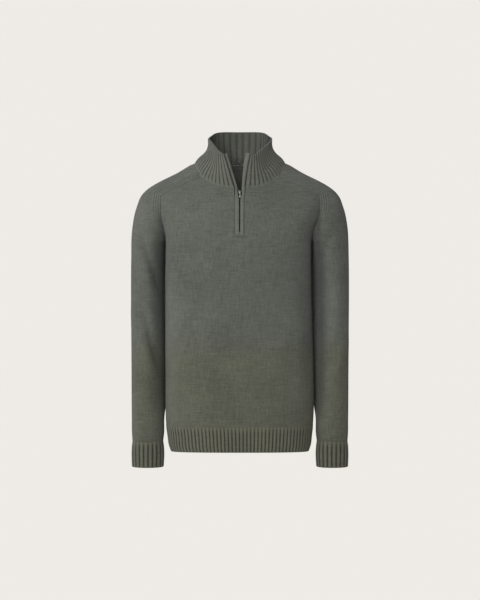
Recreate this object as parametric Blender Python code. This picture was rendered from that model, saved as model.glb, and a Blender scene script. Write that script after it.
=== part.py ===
"""A knitted pullover with a short zip, filled out as if worn, with nobody in it.

Metres, +Z up. The front faces -Y and the wearer's left is +X. The origin is the middle of the
neck, level with the shoulder seam at its side. Every cloth piece is a wall between two grids of
points: its face, worked out from the tables of sizes below, and its plain inside.
"""

import bmesh
import bpy
import numpy as np

# Cloth and seams
KNIT = 0.0022
RIB_KNIT = 0.0026
SEAM_GAP = 0.0003
INNER_SEAM_GAP = 0.0007
MERGE = 0.00001
SHARP_EDGE = 0.9
ARC_PULL = 4 / 3
RIGHT, LEFT = -1, 1
FRONT, BACK = -1, 1

# Levels
HEM_TOP = -0.628
HEM_BOTTOM = -0.6885
UNDERARM = -0.188
CUFF_TOP = -0.6678
CUFF_BOTTOM = -0.7308
NECK_FRONT = -0.0638

# The torso's section at each height: a rounded oblong
HALF_RIGHT, HALF_LEFT, DEPTH_FRONT, DEPTH_BACK, FULLNESS = range(1, 6)
TORSO = (
    # height, half width right, half width left, depth in front, depth behind, fullness
    (-0.6885, 0.1660, 0.1650, 0.094, 0.094, 2.8),
    (-0.676, 0.1707, 0.1698, 0.097, 0.096, 2.7),
    (-0.650, 0.1750, 0.1735, 0.099, 0.098, 2.6),
    (-0.628, 0.1788, 0.1768, 0.101, 0.099, 2.6),
    (-0.600, 0.1802, 0.1786, 0.103, 0.098, 2.6),
    (-0.500, 0.1808, 0.1785, 0.106, 0.094, 2.7),
    (-0.400, 0.1812, 0.1755, 0.111, 0.095, 2.8),
    (-0.300, 0.1812, 0.1730, 0.118, 0.103, 2.9),
    (-0.215, 0.1800, 0.1725, 0.122, 0.113, 3.1),
    (-0.188, 0.1797, 0.1728, 0.122, 0.115, 3.2),
    (-0.172, 0.1818, 0.1757, 0.121, 0.116, 3.2),
    (-0.155, 0.1870, 0.1822, 0.120, 0.116, 3.2),
    (-0.135, 0.1955, 0.1945, 0.118, 0.116, 3.1),
    (-0.110, 0.2080, 0.2080, 0.115, 0.114, 3.0),
    (-0.078, 0.2250, 0.2250, 0.110, 0.110, 2.8),
    (-0.040, 0.2400, 0.2400, 0.105, 0.103, 2.6),
    (0.060, 0.2450, 0.2450, 0.098, 0.092, 2.6),
)

# The shoulders' crest, where front and back meet, and how far below it each is full
RIDGE = (
    # distance from the middle, height
    (0.0, 0.040),
    (0.060, 0.024),
    (0.1106, 0.000),
    (0.1387, -0.0122),
    (0.1860, -0.0365),
    (0.2145, -0.0520),
    (0.2319, -0.0656),
    (0.2600, -0.0900),
)
SHOULDER_FALL = (
    # distance from the middle, in front, behind
    (0.0, 0.200, 0.160),
    (0.095, 0.200, 0.160),
    (0.190, 0.155, 0.130),
    (0.260, 0.150, 0.125),
)

# Seams, seen from in front or behind
SHOULDER_END = {FRONT: -0.0783, BACK: -0.0600}
NECK_CORNER = {FRONT: 0.0941, BACK: 0.0850}
ARMHOLE_COLUMN = {(FRONT, RIGHT): 1, (FRONT, LEFT): 2, (BACK, RIGHT): 3, (BACK, LEFT): 4}
ARMHOLE = (
    # height, front right, front left, back right, back left
    (-0.188, 0.1797, 0.1728, 0.1797, 0.1728),
    (-0.172, 0.1806, 0.1739, 0.1807, 0.1742),
    (-0.155, 0.1831, 0.1782, 0.1830, 0.1784),
    (-0.135, 0.1872, 0.1862, 0.1862, 0.1850),
    (-0.110, 0.1890, 0.1904, 0.1876, 0.1878),
    (-0.078, 0.1892, 0.1900, 0.1888, 0.1895),
    (-0.060, 0.1892, 0.1900, 0.1890, 0.1900),
)
NECKLINE_FRONT = (
    # distance from the middle, height
    (0.0, -0.0640),
    (0.030, -0.0622),
    (0.0482, -0.0586),
    (0.066, -0.0520),
    (0.0803, -0.0440),
    (0.0941, -0.0335),
)
NECKLINE_BACK = (
    (0.0, 0.0050),
    (0.030, 0.0040),
    (0.060, 0.0000),
    (0.0850, -0.0080),
)

# The zip's slot in the front, and the widening of its left edge at the neck
SLOT_RIGHT = 0.0136
SLOT_LEFT = 0.0101
SLOT_FLARE = 0.0030
SLOT_FLARE_FROM = -0.090

# Columns and rows of the panels' grids
NECK_COLUMNS = 7
SADDLE_COLUMNS = 7
SIDE_ROWS = 7
ARMHOLE_ROWS = 8
ARMHOLE_SPREAD = 1.8
ROW_SPREAD = 1.5

# Sleeves: the outline from the neck to the underarm, then sections down to the cuff
CREST = (
    # distance from the middle, height
    (0.1106, 0.0032),
    (0.1190, 0.0000),
    (0.1352, -0.0095),
    (0.1515, -0.0192),
    (0.1710, -0.0290),
    (0.1910, -0.0388),
    (0.2095, -0.0490),
    (0.2255, -0.0602),
    (0.2360, -0.0705),
    (0.2424, -0.0800),
    (0.2490, -0.0975),
    (0.2545, -0.1150),
    (0.2592, -0.1380),
    (0.2620, -0.1600),
    (0.2634, -0.1880),
)
SHOULDER_SHARE = 0.52
INNER_RIGHT, INNER_LEFT, INNER_DEPTH, LEAN_RIGHT, LEAN_LEFT, SKEW, OUTER, MIDDLE, HALF_DEPTH = range(1, 10)
SLEEVE = (
    # height, inner side right, left, its depth, lean right, left, pull at the inner side, outer side,
    # middle, half depth
    (-0.6678, 0.1858, 0.1858, -0.0120, 0.000, 0.000, 0.50, 0.2603, -0.0120, 0.0340),
    (-0.650, 0.1836, 0.1836, -0.0120, 0.000, 0.000, 0.50, 0.2614, -0.0120, 0.0375),
    (-0.612, 0.1832, 0.1832, -0.0080, 0.000, 0.000, 0.54, 0.2619, -0.0112, 0.0402),
    (-0.585, 0.1812, 0.1806, 0.0200, 0.004, 0.008, 0.64, 0.2622, -0.0107, 0.0418),
    (-0.500, 0.1796, 0.1772, 0.0300, 0.008, 0.022, 0.73, 0.2628, -0.0085, 0.0465),
    (-0.400, 0.1794, 0.1752, 0.0340, 0.010, 0.032, 0.75, 0.2636, -0.0060, 0.0520),
    (-0.300, 0.1804, 0.1742, 0.0340, 0.009, 0.034, 0.75, 0.2644, -0.0035, 0.0590),
    (-0.240, 0.1812, 0.1740, 0.0270, 0.006, 0.024, 0.72, 0.2642, -0.0015, 0.0640),
    (-0.215, 0.1810, 0.1738, 0.0220, 0.004, 0.012, 0.68, 0.2638, -0.0005, 0.0655),
    (-0.200, 0.1806, 0.1736, 0.0160, 0.002, 0.005, 0.64, 0.2636, 0.0000, 0.0660),
    (-0.188, 0.1802, 0.1733, 0.0000, 0.000, 0.000, 0.60, 0.2634, 0.0000, 0.0660),
)
SLEEVE_RING_ROWS = 12
CAP_FADE = 3
# How alike a sleeve's and a panel's normals are where they begin to turn into one, and where they have
ALIKE_FROM, ALIKE_TO = 0.3, 0.8
# How the rows above the underarm leave the seams, pass half way, and go over the crest
OUTWARD, HALF_WAY, UPWARD, CROWN = 1, 2, 3, 4
SLEEVE_ROWS = (
    # share of the way (1 at the shoulder's end, 2 at the neck), outward, half-way depth, up, crown
    (0.00, 0.000, 0.0660, 0.000, 0.088),
    (0.25, 0.008, 0.0655, 0.002, 0.078),
    (0.50, 0.015, 0.0600, 0.005, 0.063),
    (0.75, 0.016, 0.0490, 0.009, 0.046),
    (1.00, 0.011, 0.0355, 0.013, 0.032),
    (1.50, 0.000, 0.0340, 0.016, 0.024),
    (2.00, 0.007, 0.0360, 0.011, 0.026),
)
# Raised lines beside the saddle and armhole seams
RIDGES = 4
RIDGE_SHARE = 0.030
RIDGE_PITCH = 0.0064
RIDGE_RAISE = 0.0015
RIDGE_FADE = 0.5
CROWN_COLUMNS = 12
# The largest soft folds, as straight lines over a sleeve's front or back, each with a swell at its outer side
FOLD_FADE = 0.22
SWELL_AWAY = 1.8
FACING_RISE = 2
FOLDS = (
    # side, face, distance and height of the start, of the end, half width, depth, swell
    (RIGHT, FRONT, 0.2400, -0.165, 0.1880, -0.300, 0.012, 0.0060, 0.0040),
    (RIGHT, FRONT, 0.2380, -0.340, 0.1900, -0.490, 0.013, 0.0075, 0.0045),
    (RIGHT, BACK, 0.2380, -0.215, 0.1880, -0.340, 0.013, 0.0060, 0.0030),
    (LEFT, FRONT, 0.2180, -0.175, 0.1860, -0.235, 0.010, 0.0035, 0.0015),
    (LEFT, FRONT, 0.2450, -0.400, 0.1950, -0.520, 0.014, 0.0040, 0.0020),
    (LEFT, BACK, 0.2380, -0.190, 0.1880, -0.310, 0.013, 0.0060, 0.0030),
)

# Cuffs
CUFF = (
    # the same columns as the sleeve's
    (-0.7308, 0.1856, 0.1856, -0.0130, 0.0, 0.0, 0.5, 0.2602, -0.0130, 0.0300),
    (-0.700, 0.1842, 0.1842, -0.0125, 0.0, 0.0, 0.5, 0.2612, -0.0125, 0.0315),
    (-0.6678, 0.1862, 0.1862, -0.0120, 0.0, 0.0, 0.5, 0.2599, -0.0120, 0.0330),
)
CUFF_RIBS = 21
CUFF_RAISE = 0.0013
HEM_RIBS = 104
HEM_RAISE = 0.0015
HEM_SIDE_DROP = 0.006
RIB_START = 0.35
BAND_LEVELS = (0.0, 0.25, 1.0)

# Collar: the rim from each front edge to the middle of the back
RIM_RIGHT = (
    # share of the half rim, distance from the middle, depth (front is negative), height
    (0.00, 0.0375, -0.0890, 0.0155),
    (0.07, 0.0465, -0.0820, 0.0222),
    (0.20, 0.0590, -0.0660, 0.0365),
    (0.33, 0.0700, -0.0430, 0.0525),
    (0.50, 0.0765, -0.0080, 0.0620),
    (0.68, 0.0715, 0.0280, 0.0735),
    (0.84, 0.0535, 0.0530, 0.0855),
    (1.00, 0.0000, 0.0680, 0.0880),
    (1.16, -0.0535, 0.0530, 0.0855),
)
RIM_LEFT = (
    (0.00, 0.0250, -0.0900, 0.0140),
    (0.07, 0.0335, -0.0860, 0.0150),
    (0.20, 0.0505, -0.0720, 0.0305),
    (0.33, 0.0645, -0.0510, 0.0425),
    (0.50, 0.0765, -0.0080, 0.0620),
    (0.68, 0.0715, 0.0280, 0.0735),
    (0.84, 0.0535, 0.0530, 0.0855),
    (1.00, 0.0000, 0.0680, 0.0880),
    (1.16, -0.0535, 0.0530, 0.0855),
)
COLLAR_RISE = (
    # share of the height, share of the way out from the rim to the neckline
    (0.00, 1.000),
    (0.11, 0.825),
    (0.20, 0.700),
    (0.28, 0.545),
    (0.36, 0.370),
    (0.44, 0.235),
    (0.53, 0.120),
    (0.70, 0.015),
    (1.00, 0.000),
)
FRONT_EDGE_BOW = {RIGHT: 1.0, LEFT: 1.5}
COLLAR_LEVELS = (0.0, 0.10, 0.26, 0.43, 0.60, 0.80, 1.0)
FRONT_RIBS = 14
BACK_RIBS = 11
COLLAR_RAISE = 0.0014

# Zip facings: rounded strips from the edges of slot and collar in to the zip
WELT_THICK = 0.0040
WELT_PROUD = 0.0012
WELT_SIDES = 10
WELT_GAP = 0.0007
WELT_TURN_GAP = 0.70
WELT_ROUND = 0.7
WELT_RIGHT = (
    # height, inner edge, how far the inner edge turns back
    (-0.1757, -0.00075, 0.000),
    (-0.1690, -0.00075, 0.000),
    (-0.1668, -0.0021, 0.000),
    (-0.1400, -0.0021, 0.000),
    (-0.1100, -0.0021, 0.000),
    (-0.0900, -0.0024, 0.000),
    (-0.0800, -0.0048, 0.001),
    (-0.0700, -0.0054, 0.002),
    (-0.0617, -0.0060, 0.003),
    (-0.0400, -0.0124, 0.003),
    (-0.0216, -0.0181, 0.003),
    (0.0000, -0.0246, 0.003),
    (0.0135, -0.0286, 0.003),
    (0.0180, -0.0298, 0.003),
)
WELT_LEFT = (
    (-0.1757, -0.00045, 0.000),
    (-0.1690, -0.00045, 0.000),
    (-0.1668, 0.0009, 0.000),
    (-0.1400, 0.0009, 0.000),
    (-0.1100, 0.0009, 0.000),
    (-0.0900, 0.0012, 0.000),
    (-0.0800, 0.0038, 0.000),
    (-0.0700, 0.0040, 0.001),
    (-0.0617, 0.0040, 0.002),
    (-0.0334, 0.0060, 0.002),
    (-0.0051, 0.0086, 0.002),
    (0.0080, 0.0110, 0.002),
    (0.0150, 0.0130, 0.002),
    (0.0190, 0.0138, 0.002),
)
TAPE_DEEP = 0.0034
TAPE_THICK = 0.0010
TAPE_SHOWS = 0.00135
TAPE_INSET = 0.0030
SLIT_BOTTOM = -0.168

# Bar under the zip
BAR_RIGHT, BAR_LEFT = -0.0180, 0.0150
BAR_TOP, BAR_BOTTOM = -0.1785, -0.1813
BAR_THICK = 0.0013

# Slider and pull tab, drawn upright and then leaned to the chest
SLIDER_HEIGHT = -0.0740
SLIDER_SIZE = (0.0072, 0.0042, 0.0100)
SLIDER_TAPER = 0.62
SLIDER_BEVEL = 0.0014
LEAN_STEP = 0.012
BRIDGE_SIZE = (0.0014, 0.0027, 0.0058)
BRIDGE_BAR = 0.0008
BRIDGE_OVERLAP = 0.0006
PIN = 0.0010
PIN_CLEAR = 0.00040
TAB_SIZE = (0.0050, 0.0010, 0.0150)
TAB_WINDOW = (0.0024, 0.0042)
TAB_FOOT = 0.62
TAB_BEVEL = 0.0009
ZIP_PROUD = 0.0016

# Hanger loop
LOOP_MIDDLE = -0.0095
LOOP_SIZE = (0.0195, 0.0013, 0.0068)
LOOP_HOLE = (0.0150, 0.0026)
LOOP_HEIGHT = 0.0110
LOOP_CLEAR = 0.0018
LOOP_BEVEL = 0.0012

# Colours, as seen in soft daylight
KNIT_COLOUR = (0.112, 0.119, 0.098)
RIB_COLOUR = (0.098, 0.105, 0.085)
TAPE_COLOUR = (0.020, 0.021, 0.018)
METAL_COLOUR = (0.115, 0.118, 0.105)


def smooth(table, column, place):
    """The value of a table's column at a place, on a curve that bends softly through its rows."""
    rows = np.array(table, float)
    places, values = rows[:, 0], rows[:, column]
    place = np.clip(place, places[0], places[-1])
    slopes = np.gradient(values, places)
    row = np.clip(np.searchsorted(places, place, side="right") - 1, 0, len(places) - 2)
    span = places[row + 1] - places[row]
    t = (place - places[row]) / span
    ends = values[row] * (1 + 2 * t) * (1 - t) ** 2 + values[row + 1] * (3 - 2 * t) * t**2
    return ends + span * (slopes[row] * t * (1 - t) ** 2 - slopes[row + 1] * (1 - t) * t**2)


def ease(share):
    share = np.clip(share, 0, 1)
    return share * share * (3 - 2 * share)


def unit(vectors):
    return vectors / np.maximum(np.linalg.norm(vectors, axis=-1, keepdims=True), 1e-12)


def along(points, shares):
    """Points at the given shares of a line's length."""
    points = np.asarray(points)
    steps = np.linalg.norm(np.diff(points, axis=0), axis=1)
    run = np.concatenate([[0], np.cumsum(steps)])
    return np.stack([np.interp(np.asarray(shares) * run[-1], run, c) for c in points.T], axis=-1)


def bend(start, pull_start, pull_end, end, count=40):
    """A curve between two points that leaves and arrives by the given pulls."""
    t = np.linspace(0, 1, count)[:, None]
    first, last = start + pull_start, end + pull_end
    return (1 - t) ** 3 * start + 3 * (1 - t) ** 2 * t * first + 3 * (1 - t) * t**2 * last + t**3 * end


def half_width(x, z):
    return np.where(x < 0, smooth(TORSO, HALF_RIGHT, z), smooth(TORSO, HALF_LEFT, z))


def torso_y(face, x, z):
    """The depth of the torso's front or back surface over a point of its outline."""
    depth = smooth(TORSO, DEPTH_FRONT if face == FRONT else DEPTH_BACK, z)
    fullness = smooth(TORSO, FULLNESS, z)
    across = np.clip(1 - (np.abs(x) / half_width(x, z)) ** fullness, 0, 1) ** (1 / fullness)
    fall = smooth(SHOULDER_FALL, 1 if face == FRONT else 2, np.abs(x))
    below = np.clip((smooth(RIDGE, 1, np.abs(x)) - z) / fall, 0, 1)
    return face * depth * across * np.sqrt(1 - (1 - below) ** 2)


def panel_edge(face, side, z):
    """Half the panel's width: to the side seam, and above the underarm to the armhole seam."""
    seam = smooth(ARMHOLE, ARMHOLE_COLUMN[face, side], z)
    return np.where(z > UNDERARM, seam, half_width(side, z))


def slot_edge(side, z):
    if side == RIGHT:
        return np.full_like(z, SLOT_RIGHT)
    flare = ease((z - SLOT_FLARE_FROM) / (NECK_FRONT - SLOT_FLARE_FROM))
    return SLOT_LEFT + SLOT_FLARE * flare


def panel_top(face, side):
    """Where each column of half a panel ends: along the neckline, then along the saddle seam."""
    neckline = NECKLINE_FRONT if face == FRONT else NECKLINE_BACK
    corner = NECK_CORNER[face]
    end_z = SHOULDER_END[face]
    end_x = panel_edge(face, side, np.array(end_z))
    start = slot_edge(side, np.array(NECK_FRONT))
    neck = np.linspace(start, corner, NECK_COLUMNS + 1)
    saddle = np.linspace(corner, end_x, SADDLE_COLUMNS + 1)[1:]
    corner_z = smooth(neckline, 1, corner)
    share = (saddle - corner) / (end_x - corner)
    x = np.concatenate([neck, saddle])
    z = np.concatenate([smooth(neckline, 1, neck), corner_z + (end_z - corner_z) * share])
    return x, z


def closing_in(count):
    """Shares from 0 to 1 whose steps grow shorter towards 1."""
    return 1 - (1 - np.linspace(0, 1, count + 1)) ** ROW_SPREAD


def panel_half(face, side):
    """Half a body panel, as rows from the hem up and columns from the middle out."""
    top_x, top_z = panel_top(face, side)
    underarm = (UNDERARM - HEM_TOP) / (SHOULDER_END[face] - HEM_TOP)
    lower = underarm * closing_in(SIDE_ROWS)
    rise = (np.arange(1, ARMHOLE_ROWS + 1) / ARMHOLE_ROWS) ** ARMHOLE_SPREAD
    share = np.concatenate([lower, underarm + (1 - underarm) * rise])[:, None]
    z = HEM_TOP + share * (top_z - HEM_TOP)
    count = NECK_COLUMNS + SADDLE_COLUMNS
    low = np.sin(np.pi / 2 * np.arange(count + 1) / count)
    high = (top_x - top_x[0]) / (top_x[-1] - top_x[0])
    part = low + (high - low) * ease((share - underarm) / (1 - underarm))
    inner = slot_edge(side, z)
    x = side * (inner + part * (panel_edge(face, side, z) - inner))
    return np.stack([x, torso_y(face, x, z), z], axis=-1)


def panel_face(face):
    """The whole panel, from the wearer's right to left."""
    return np.concatenate([panel_half(face, RIGHT)[:, ::-1], panel_half(face, LEFT)], axis=1)


def normals(points, closed_rows=0):
    """Unit normals of a grid; its first rows may be rings whose ends meet."""
    across = np.gradient(points, axis=1)
    along_rows = np.gradient(points, axis=0)
    if closed_rows:
        seam = (points[:closed_rows, 1] - points[:closed_rows, -2]) / 2
        across[:closed_rows, 0] = seam
        across[:closed_rows, -1] = seam
        along_rows[:closed_rows] = np.gradient(points[:closed_rows], axis=0)
    return unit(np.cross(across, along_rows))


def drawn_in(points, sides, gap=SEAM_GAP / 2):
    """The grid with the named sides moved in by half a seam's gap."""
    points = points.copy()
    if "bottom" in sides:
        points[0] += gap * unit(points[1] - points[0])
    if "top" in sides:
        points[-1] += gap * unit(points[-2] - points[-1])
    if "start" in sides:
        points[:, 0] += gap * unit(points[:, 1] - points[:, 0])
    if "end" in sides:
        points[:, -1] += gap * unit(points[:, -2] - points[:, -1])
    return points


def material(name, colour, roughness, metallic=0.0):
    made = bpy.data.materials.new(name)
    made.use_nodes = True
    shader = made.node_tree.nodes["Principled BSDF"]
    shader.inputs["Base Color"].default_value = (*colour, 1.0)
    shader.inputs["Roughness"].default_value = roughness
    shader.inputs["Metallic"].default_value = metallic
    return made


def place_object(name, mesh, finish):
    data = bpy.data.meshes.new(name)
    mesh.to_mesh(data)
    mesh.free()
    data.materials.append(finish)
    data.shade_smooth()
    data.set_sharp_from_angle(angle=SHARP_EDGE)
    made = bpy.data.objects.new(name, data)
    bpy.context.scene.collection.objects.link(made)
    return made


def wall(name, outside, inside, finish, missing=None):
    """A cloth wall: a grid on the outside points, thickened to the inside points."""
    rows, columns = outside.shape[:2]
    outside, inside = outside.reshape(-1, 3), inside.reshape(-1, 3)
    mesh = bmesh.new()
    bmesh.ops.create_grid(mesh, x_segments=columns - 1, y_segments=rows - 1, size=1)
    place = mesh.verts.layers.int.new("place")
    for index, point in enumerate(mesh.verts):
        point[place] = index
        point.co = outside[index]
    if missing:
        faces = [f for i, f in enumerate(mesh.faces) if missing(*divmod(i, columns - 1))]
        bmesh.ops.delete(mesh, geom=faces, context="FACES")
    bmesh.ops.remove_doubles(mesh, verts=mesh.verts, dist=MERGE)
    lining = bmesh.ops.extrude_face_region(mesh, geom=mesh.faces[:], use_keep_orig=True)
    for part in lining["geom"]:
        if isinstance(part, bmesh.types.BMVert):
            part.co = inside[part[place]]
    bmesh.ops.recalc_face_normals(mesh, faces=mesh.faces)
    return place_object(name, mesh, finish)


def rod(name, rings, finish):
    """A solid strip through rings of points, closed at both ends."""
    rings = np.concatenate([rings, rings[:, :1]], axis=1)
    rows, columns = rings.shape[:2]
    mesh = bmesh.new()
    bmesh.ops.create_grid(mesh, x_segments=columns - 1, y_segments=rows - 1, size=1)
    for point, co in zip(mesh.verts, rings.reshape(-1, 3)):
        point.co = co
    bmesh.ops.remove_doubles(mesh, verts=mesh.verts, dist=MERGE)
    bmesh.ops.holes_fill(mesh, edges=mesh.edges)
    bmesh.ops.recalc_face_normals(mesh, faces=mesh.faces)
    return place_object(name, mesh, finish)


def body_panels(finish):
    slot_column = NECK_COLUMNS + SADDLE_COLUMNS

    def in_slot(row, column):
        return column == slot_column and row >= SIDE_ROWS

    for name, face, missing in (("front", FRONT, in_slot), ("back", BACK, None)):
        points = panel_face(face)
        outward = -face * normals(points)
        sides = ("bottom", "top", "start", "end")
        inside = drawn_in(points - KNIT * outward, sides, INNER_SEAM_GAP / 2)
        wall(name, drawn_in(points, sides), inside, finish, missing)


def spaced(line, share=0.0):
    """A row's columns: at even shares on the arm, and at the raised lines' pitch above it."""
    length = np.linalg.norm(np.diff(line, axis=0), axis=1).sum()
    step = RIDGE_SHARE + (RIDGE_PITCH / 2 / length - RIDGE_SHARE) * ease(share / RIDGE_FADE)
    edge = np.arange(2 * RIDGES + 1) * step
    crown = np.linspace(edge[-1], 1 - edge[-1], CROWN_COLUMNS + 1)
    return along(line, np.concatenate([edge, crown[1:-1], 1 - edge[::-1]]))


def ring(table, side, z, count=60):
    """A closed section of a sleeve or cuff, from its inner side round the front and back."""
    inner = smooth(table, INNER_RIGHT if side == RIGHT else INNER_LEFT, z)
    lean = smooth(table, LEAN_RIGHT if side == RIGHT else LEAN_LEFT, z)
    middle, half_depth = smooth(table, MIDDLE, z), smooth(table, HALF_DEPTH, z)
    behind = smooth(table, INNER_DEPTH, z) - middle
    start = np.array([side * inner, middle + behind, z])
    crest = np.array([side * smooth(table, OUTER, z), middle, z])
    skew = smooth(table, SKEW, z)
    forward = (half_depth * 2 + behind) * ARC_PULL
    reach = np.array([0, half_depth * ARC_PULL, 0])
    to_back = np.array([0, (half_depth - behind) * ARC_PULL, 0])
    from_start = np.array([side * lean, -forward * skew, 0])
    to_crest = np.array([0, -forward * (1 - skew), 0])
    front = bend(start, from_start, to_crest, crest, count)
    back = bend(crest, reach, to_back, start, count)
    return np.concatenate([front, back[1:]])


def arch(side, share, front_point, back_point, crest):
    """A row of a sleeve above the underarm, from the front seam over the crest to the back."""
    out = side * smooth(SLEEVE_ROWS, OUTWARD, share)
    up = smooth(SLEEVE_ROWS, UPWARD, share)
    crown = smooth(SLEEVE_ROWS, CROWN, share)
    away = (smooth(SLEEVE_ROWS, HALF_WAY, share) + front_point[1] / 2) * 2 * ARC_PULL - crown
    over = np.array([0, crown, 0])
    front = bend(front_point, np.array([out, -away, up]), -over, crest)
    back = bend(crest, over, np.array([out, away, up]), back_point)
    return np.concatenate([front, back[1:]])


def cap_side(side, seam, crest, count=40):
    """From the armhole seam to the crest along the tube that hangs below the underarm."""
    face = FRONT if seam[1] < 0 else BACK
    inner = side * smooth(SLEEVE, INNER_RIGHT if side == RIGHT else INNER_LEFT, UNDERARM)
    reach = np.array([0, face * smooth(SLEEVE, HALF_DEPTH, UNDERARM) * 2 * ARC_PULL, 0])
    skew = smooth(SLEEVE, SKEW, UNDERARM) if face == FRONT else 0.5
    start, end = np.array([inner, 0, 0]), np.array([crest[0], 0, 0])
    whole = bend(start, reach * skew, reach * (1 - skew), end, count)
    near = count // 2
    first = np.interp(abs(seam[1]), np.abs(whole[:near, 1]), np.arange(near))
    place = first + (count - 1 - first) * np.linspace(0, 1, count)
    line = np.stack([np.interp(place, np.arange(count), whole[:, axis]) for axis in range(3)], axis=-1)
    fade = (1 - np.linspace(0, 1, count)) ** CAP_FADE
    line[:, :2] += fade[:, None] * (seam - line[0])[:2]
    line[:, 2] = seam[2] + (crest[2] - seam[2]) * np.sin(np.linspace(0, np.pi / 2, count))
    return line


def cap_row(side, share, front_point, back_point, crest):
    """A row of the sleeve's cap, which turns from the tube's section into the saddle's arch."""
    front, back = cap_side(side, front_point, crest), cap_side(side, back_point, crest)
    tube = np.concatenate([front, back[-2::-1]])
    mix = ease(share)
    return tube * (1 - mix) + arch(side, share, front_point, back_point, crest) * mix


def folded(side, points, outward):
    """The sleeve's points with its folds pressed in."""
    place = points[..., (0, 2)] * (side, 1)
    depth = np.zeros(points.shape[:2])
    for fold_side, face, *line, half, deep, swell in FOLDS:
        if fold_side != side:
            continue
        start, run = np.array(line[:2]), np.array(line[2:]) - np.array(line[:2])
        share = (place - start) @ run / (run @ run)
        inwards = (place - start) @ np.array([run[1], -run[0]]) / np.linalg.norm(run)
        ends = ease((share + FOLD_FADE) / (2 * FOLD_FADE)) * ease((1 + FOLD_FADE - share) / (2 * FOLD_FADE))
        trough = deep * np.exp(-((inwards / half) ** 2))
        raised = swell * np.exp(-((inwards / half + SWELL_AWAY) ** 2))
        facing = np.clip(face * outward[..., 1] * FACING_RISE, 0, 1)
        depth += (trough - raised) * facing * ends
    return points - depth[..., None] * outward


def crest_line(side, count=80):
    """The sleeve's outline from the neck to the underarm, as a soft curve through its points."""
    points = np.array(CREST)
    run = np.concatenate([[0], np.cumsum(np.linalg.norm(np.diff(points, axis=0), axis=1))])
    table = np.column_stack([run, points])
    place = np.linspace(0, run[-1], count)
    return np.stack([side * smooth(table, 1, place), 0 * place, smooth(table, 2, place)], axis=-1)


def sleeve_face(side):
    """Rows from the cuff up to the underarm, along the armhole, and over the saddle to the neck."""
    front, back = panel_half(FRONT, side), panel_half(BACK, side)
    over = crest_line(side)
    levels = CUFF_TOP + (UNDERARM - CUFF_TOP) * closing_in(SLEEVE_RING_ROWS)
    rows = [spaced(ring(SLEEVE, side, z)) for z in levels]
    for step in range(1, ARMHOLE_ROWS + 1):
        share = step / ARMHOLE_ROWS
        crest = along(over, [1 - share * (1 - SHOULDER_SHARE)])[0]
        ends = front[SIDE_ROWS + step, -1], back[SIDE_ROWS + step, -1]
        rows.append(spaced(cap_row(side, share, *ends, crest), share))
    for step in range(1, SADDLE_COLUMNS + 1):
        share = step / SADDLE_COLUMNS
        crest = along(over, [SHOULDER_SHARE * (1 - share)])[0]
        ends = front[-1, -1 - step], back[-1, -1 - step]
        rows.append(spaced(arch(side, 1 + share, *ends, crest), 1 + share))
    return np.array(rows)


def seam_normals(side, own):
    """The sleeve's normals, which turn at its seams into those of the panels it meets."""
    own = own.copy()
    for face, column in ((FRONT, 0), (BACK, -1)):
        outward = -face * side * normals(panel_half(face, side))
        seam = [outward[SIDE_ROWS + step, -1] for step in range(1, ARMHOLE_ROWS + 1)]
        seam += [outward[-1, -1 - step] for step in range(1, SADDLE_COLUMNS + 1)]
        for row, normal in enumerate(seam, SLEEVE_RING_ROWS + 1):
            alike = ease((own[row, column] @ normal - ALIKE_FROM) / (ALIKE_TO - ALIKE_FROM))
            own[row, column] = unit(own[row, column] * (1 - alike) + normal * alike)
    return own


def sleeves(finish):
    for name, side in (("sleeve_right", RIGHT), ("sleeve_left", LEFT)):
        even = sleeve_face(side)
        outward = seam_normals(side, side * normals(even, SLEEVE_RING_ROWS + 1))
        plain = folded(side, even, outward)
        column = np.arange(plain.shape[1])
        near = np.minimum(column, column[::-1])
        line = (near % 2) * (near < 2 * RIDGES)
        above = (np.arange(len(plain)) - SLEEVE_RING_ROWS) / ARMHOLE_ROWS
        raised = RIDGE_RAISE * ease(above / RIDGE_FADE)[:, None] * line[None, :]
        outside = plain + raised[..., None] * outward
        inside = plain - KNIT * outward
        closed = slice(0, SLEEVE_RING_ROWS + 1)
        grids = []
        for grid, gap in ((outside, SEAM_GAP / 2), (inside, INNER_SEAM_GAP / 2)):
            drawn = drawn_in(drawn_in(grid, ("start", "end"), gap), ("bottom", "top"), gap)
            drawn[:, (0, -1), 0] += side * SEAM_GAP
            drawn[closed, 0] = grid[closed, 0]
            drawn[closed, -1] = grid[closed, 0]
            drawn[0] += np.array([0, 0, SEAM_GAP / 2])
            grids.append(drawn)
        wall(name, *grids, finish)


def even_ring(points, count):
    return along(points, np.linspace(0, 1, count + 1))


def ribbed_band(name, sections, raise_by, finish):
    """A tube whose outside is raised in ribs, two columns to each."""
    outward = normals(sections, len(sections))
    outward *= np.sign(np.sum((sections[0] - sections[0].mean(axis=0)) * outward[0]))
    share = np.array(BAND_LEVELS)[:, None]
    height = raise_by * (RIB_START + (1 - RIB_START) * ease(share / BAND_LEVELS[1]))
    crest = np.arange(sections.shape[1]) % 2
    outside = sections + (height * crest)[..., None] * outward
    inside = sections - RIB_KNIT * outward
    inside[..., 2] = sections[..., 2]
    outside[..., 2] = sections[..., 2]
    for grid in (outside, inside):
        grid[:, -1] = grid[:, 0]
    wall(name, outside, inside, finish)


def torso_ring(z, count=240):
    turn = np.linspace(-np.pi / 2, np.pi / 2, count)
    front = []
    for face in (FRONT, BACK):
        x = np.sin(turn) * half_width(np.sin(turn), np.full(count, z))
        line = np.stack([x, torso_y(face, x, np.full(count, z)), np.full(count, z)], axis=-1)
        front.append(line if face == FRONT else line[::-1])
    return np.concatenate([front[0], front[1][1:]])


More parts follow.
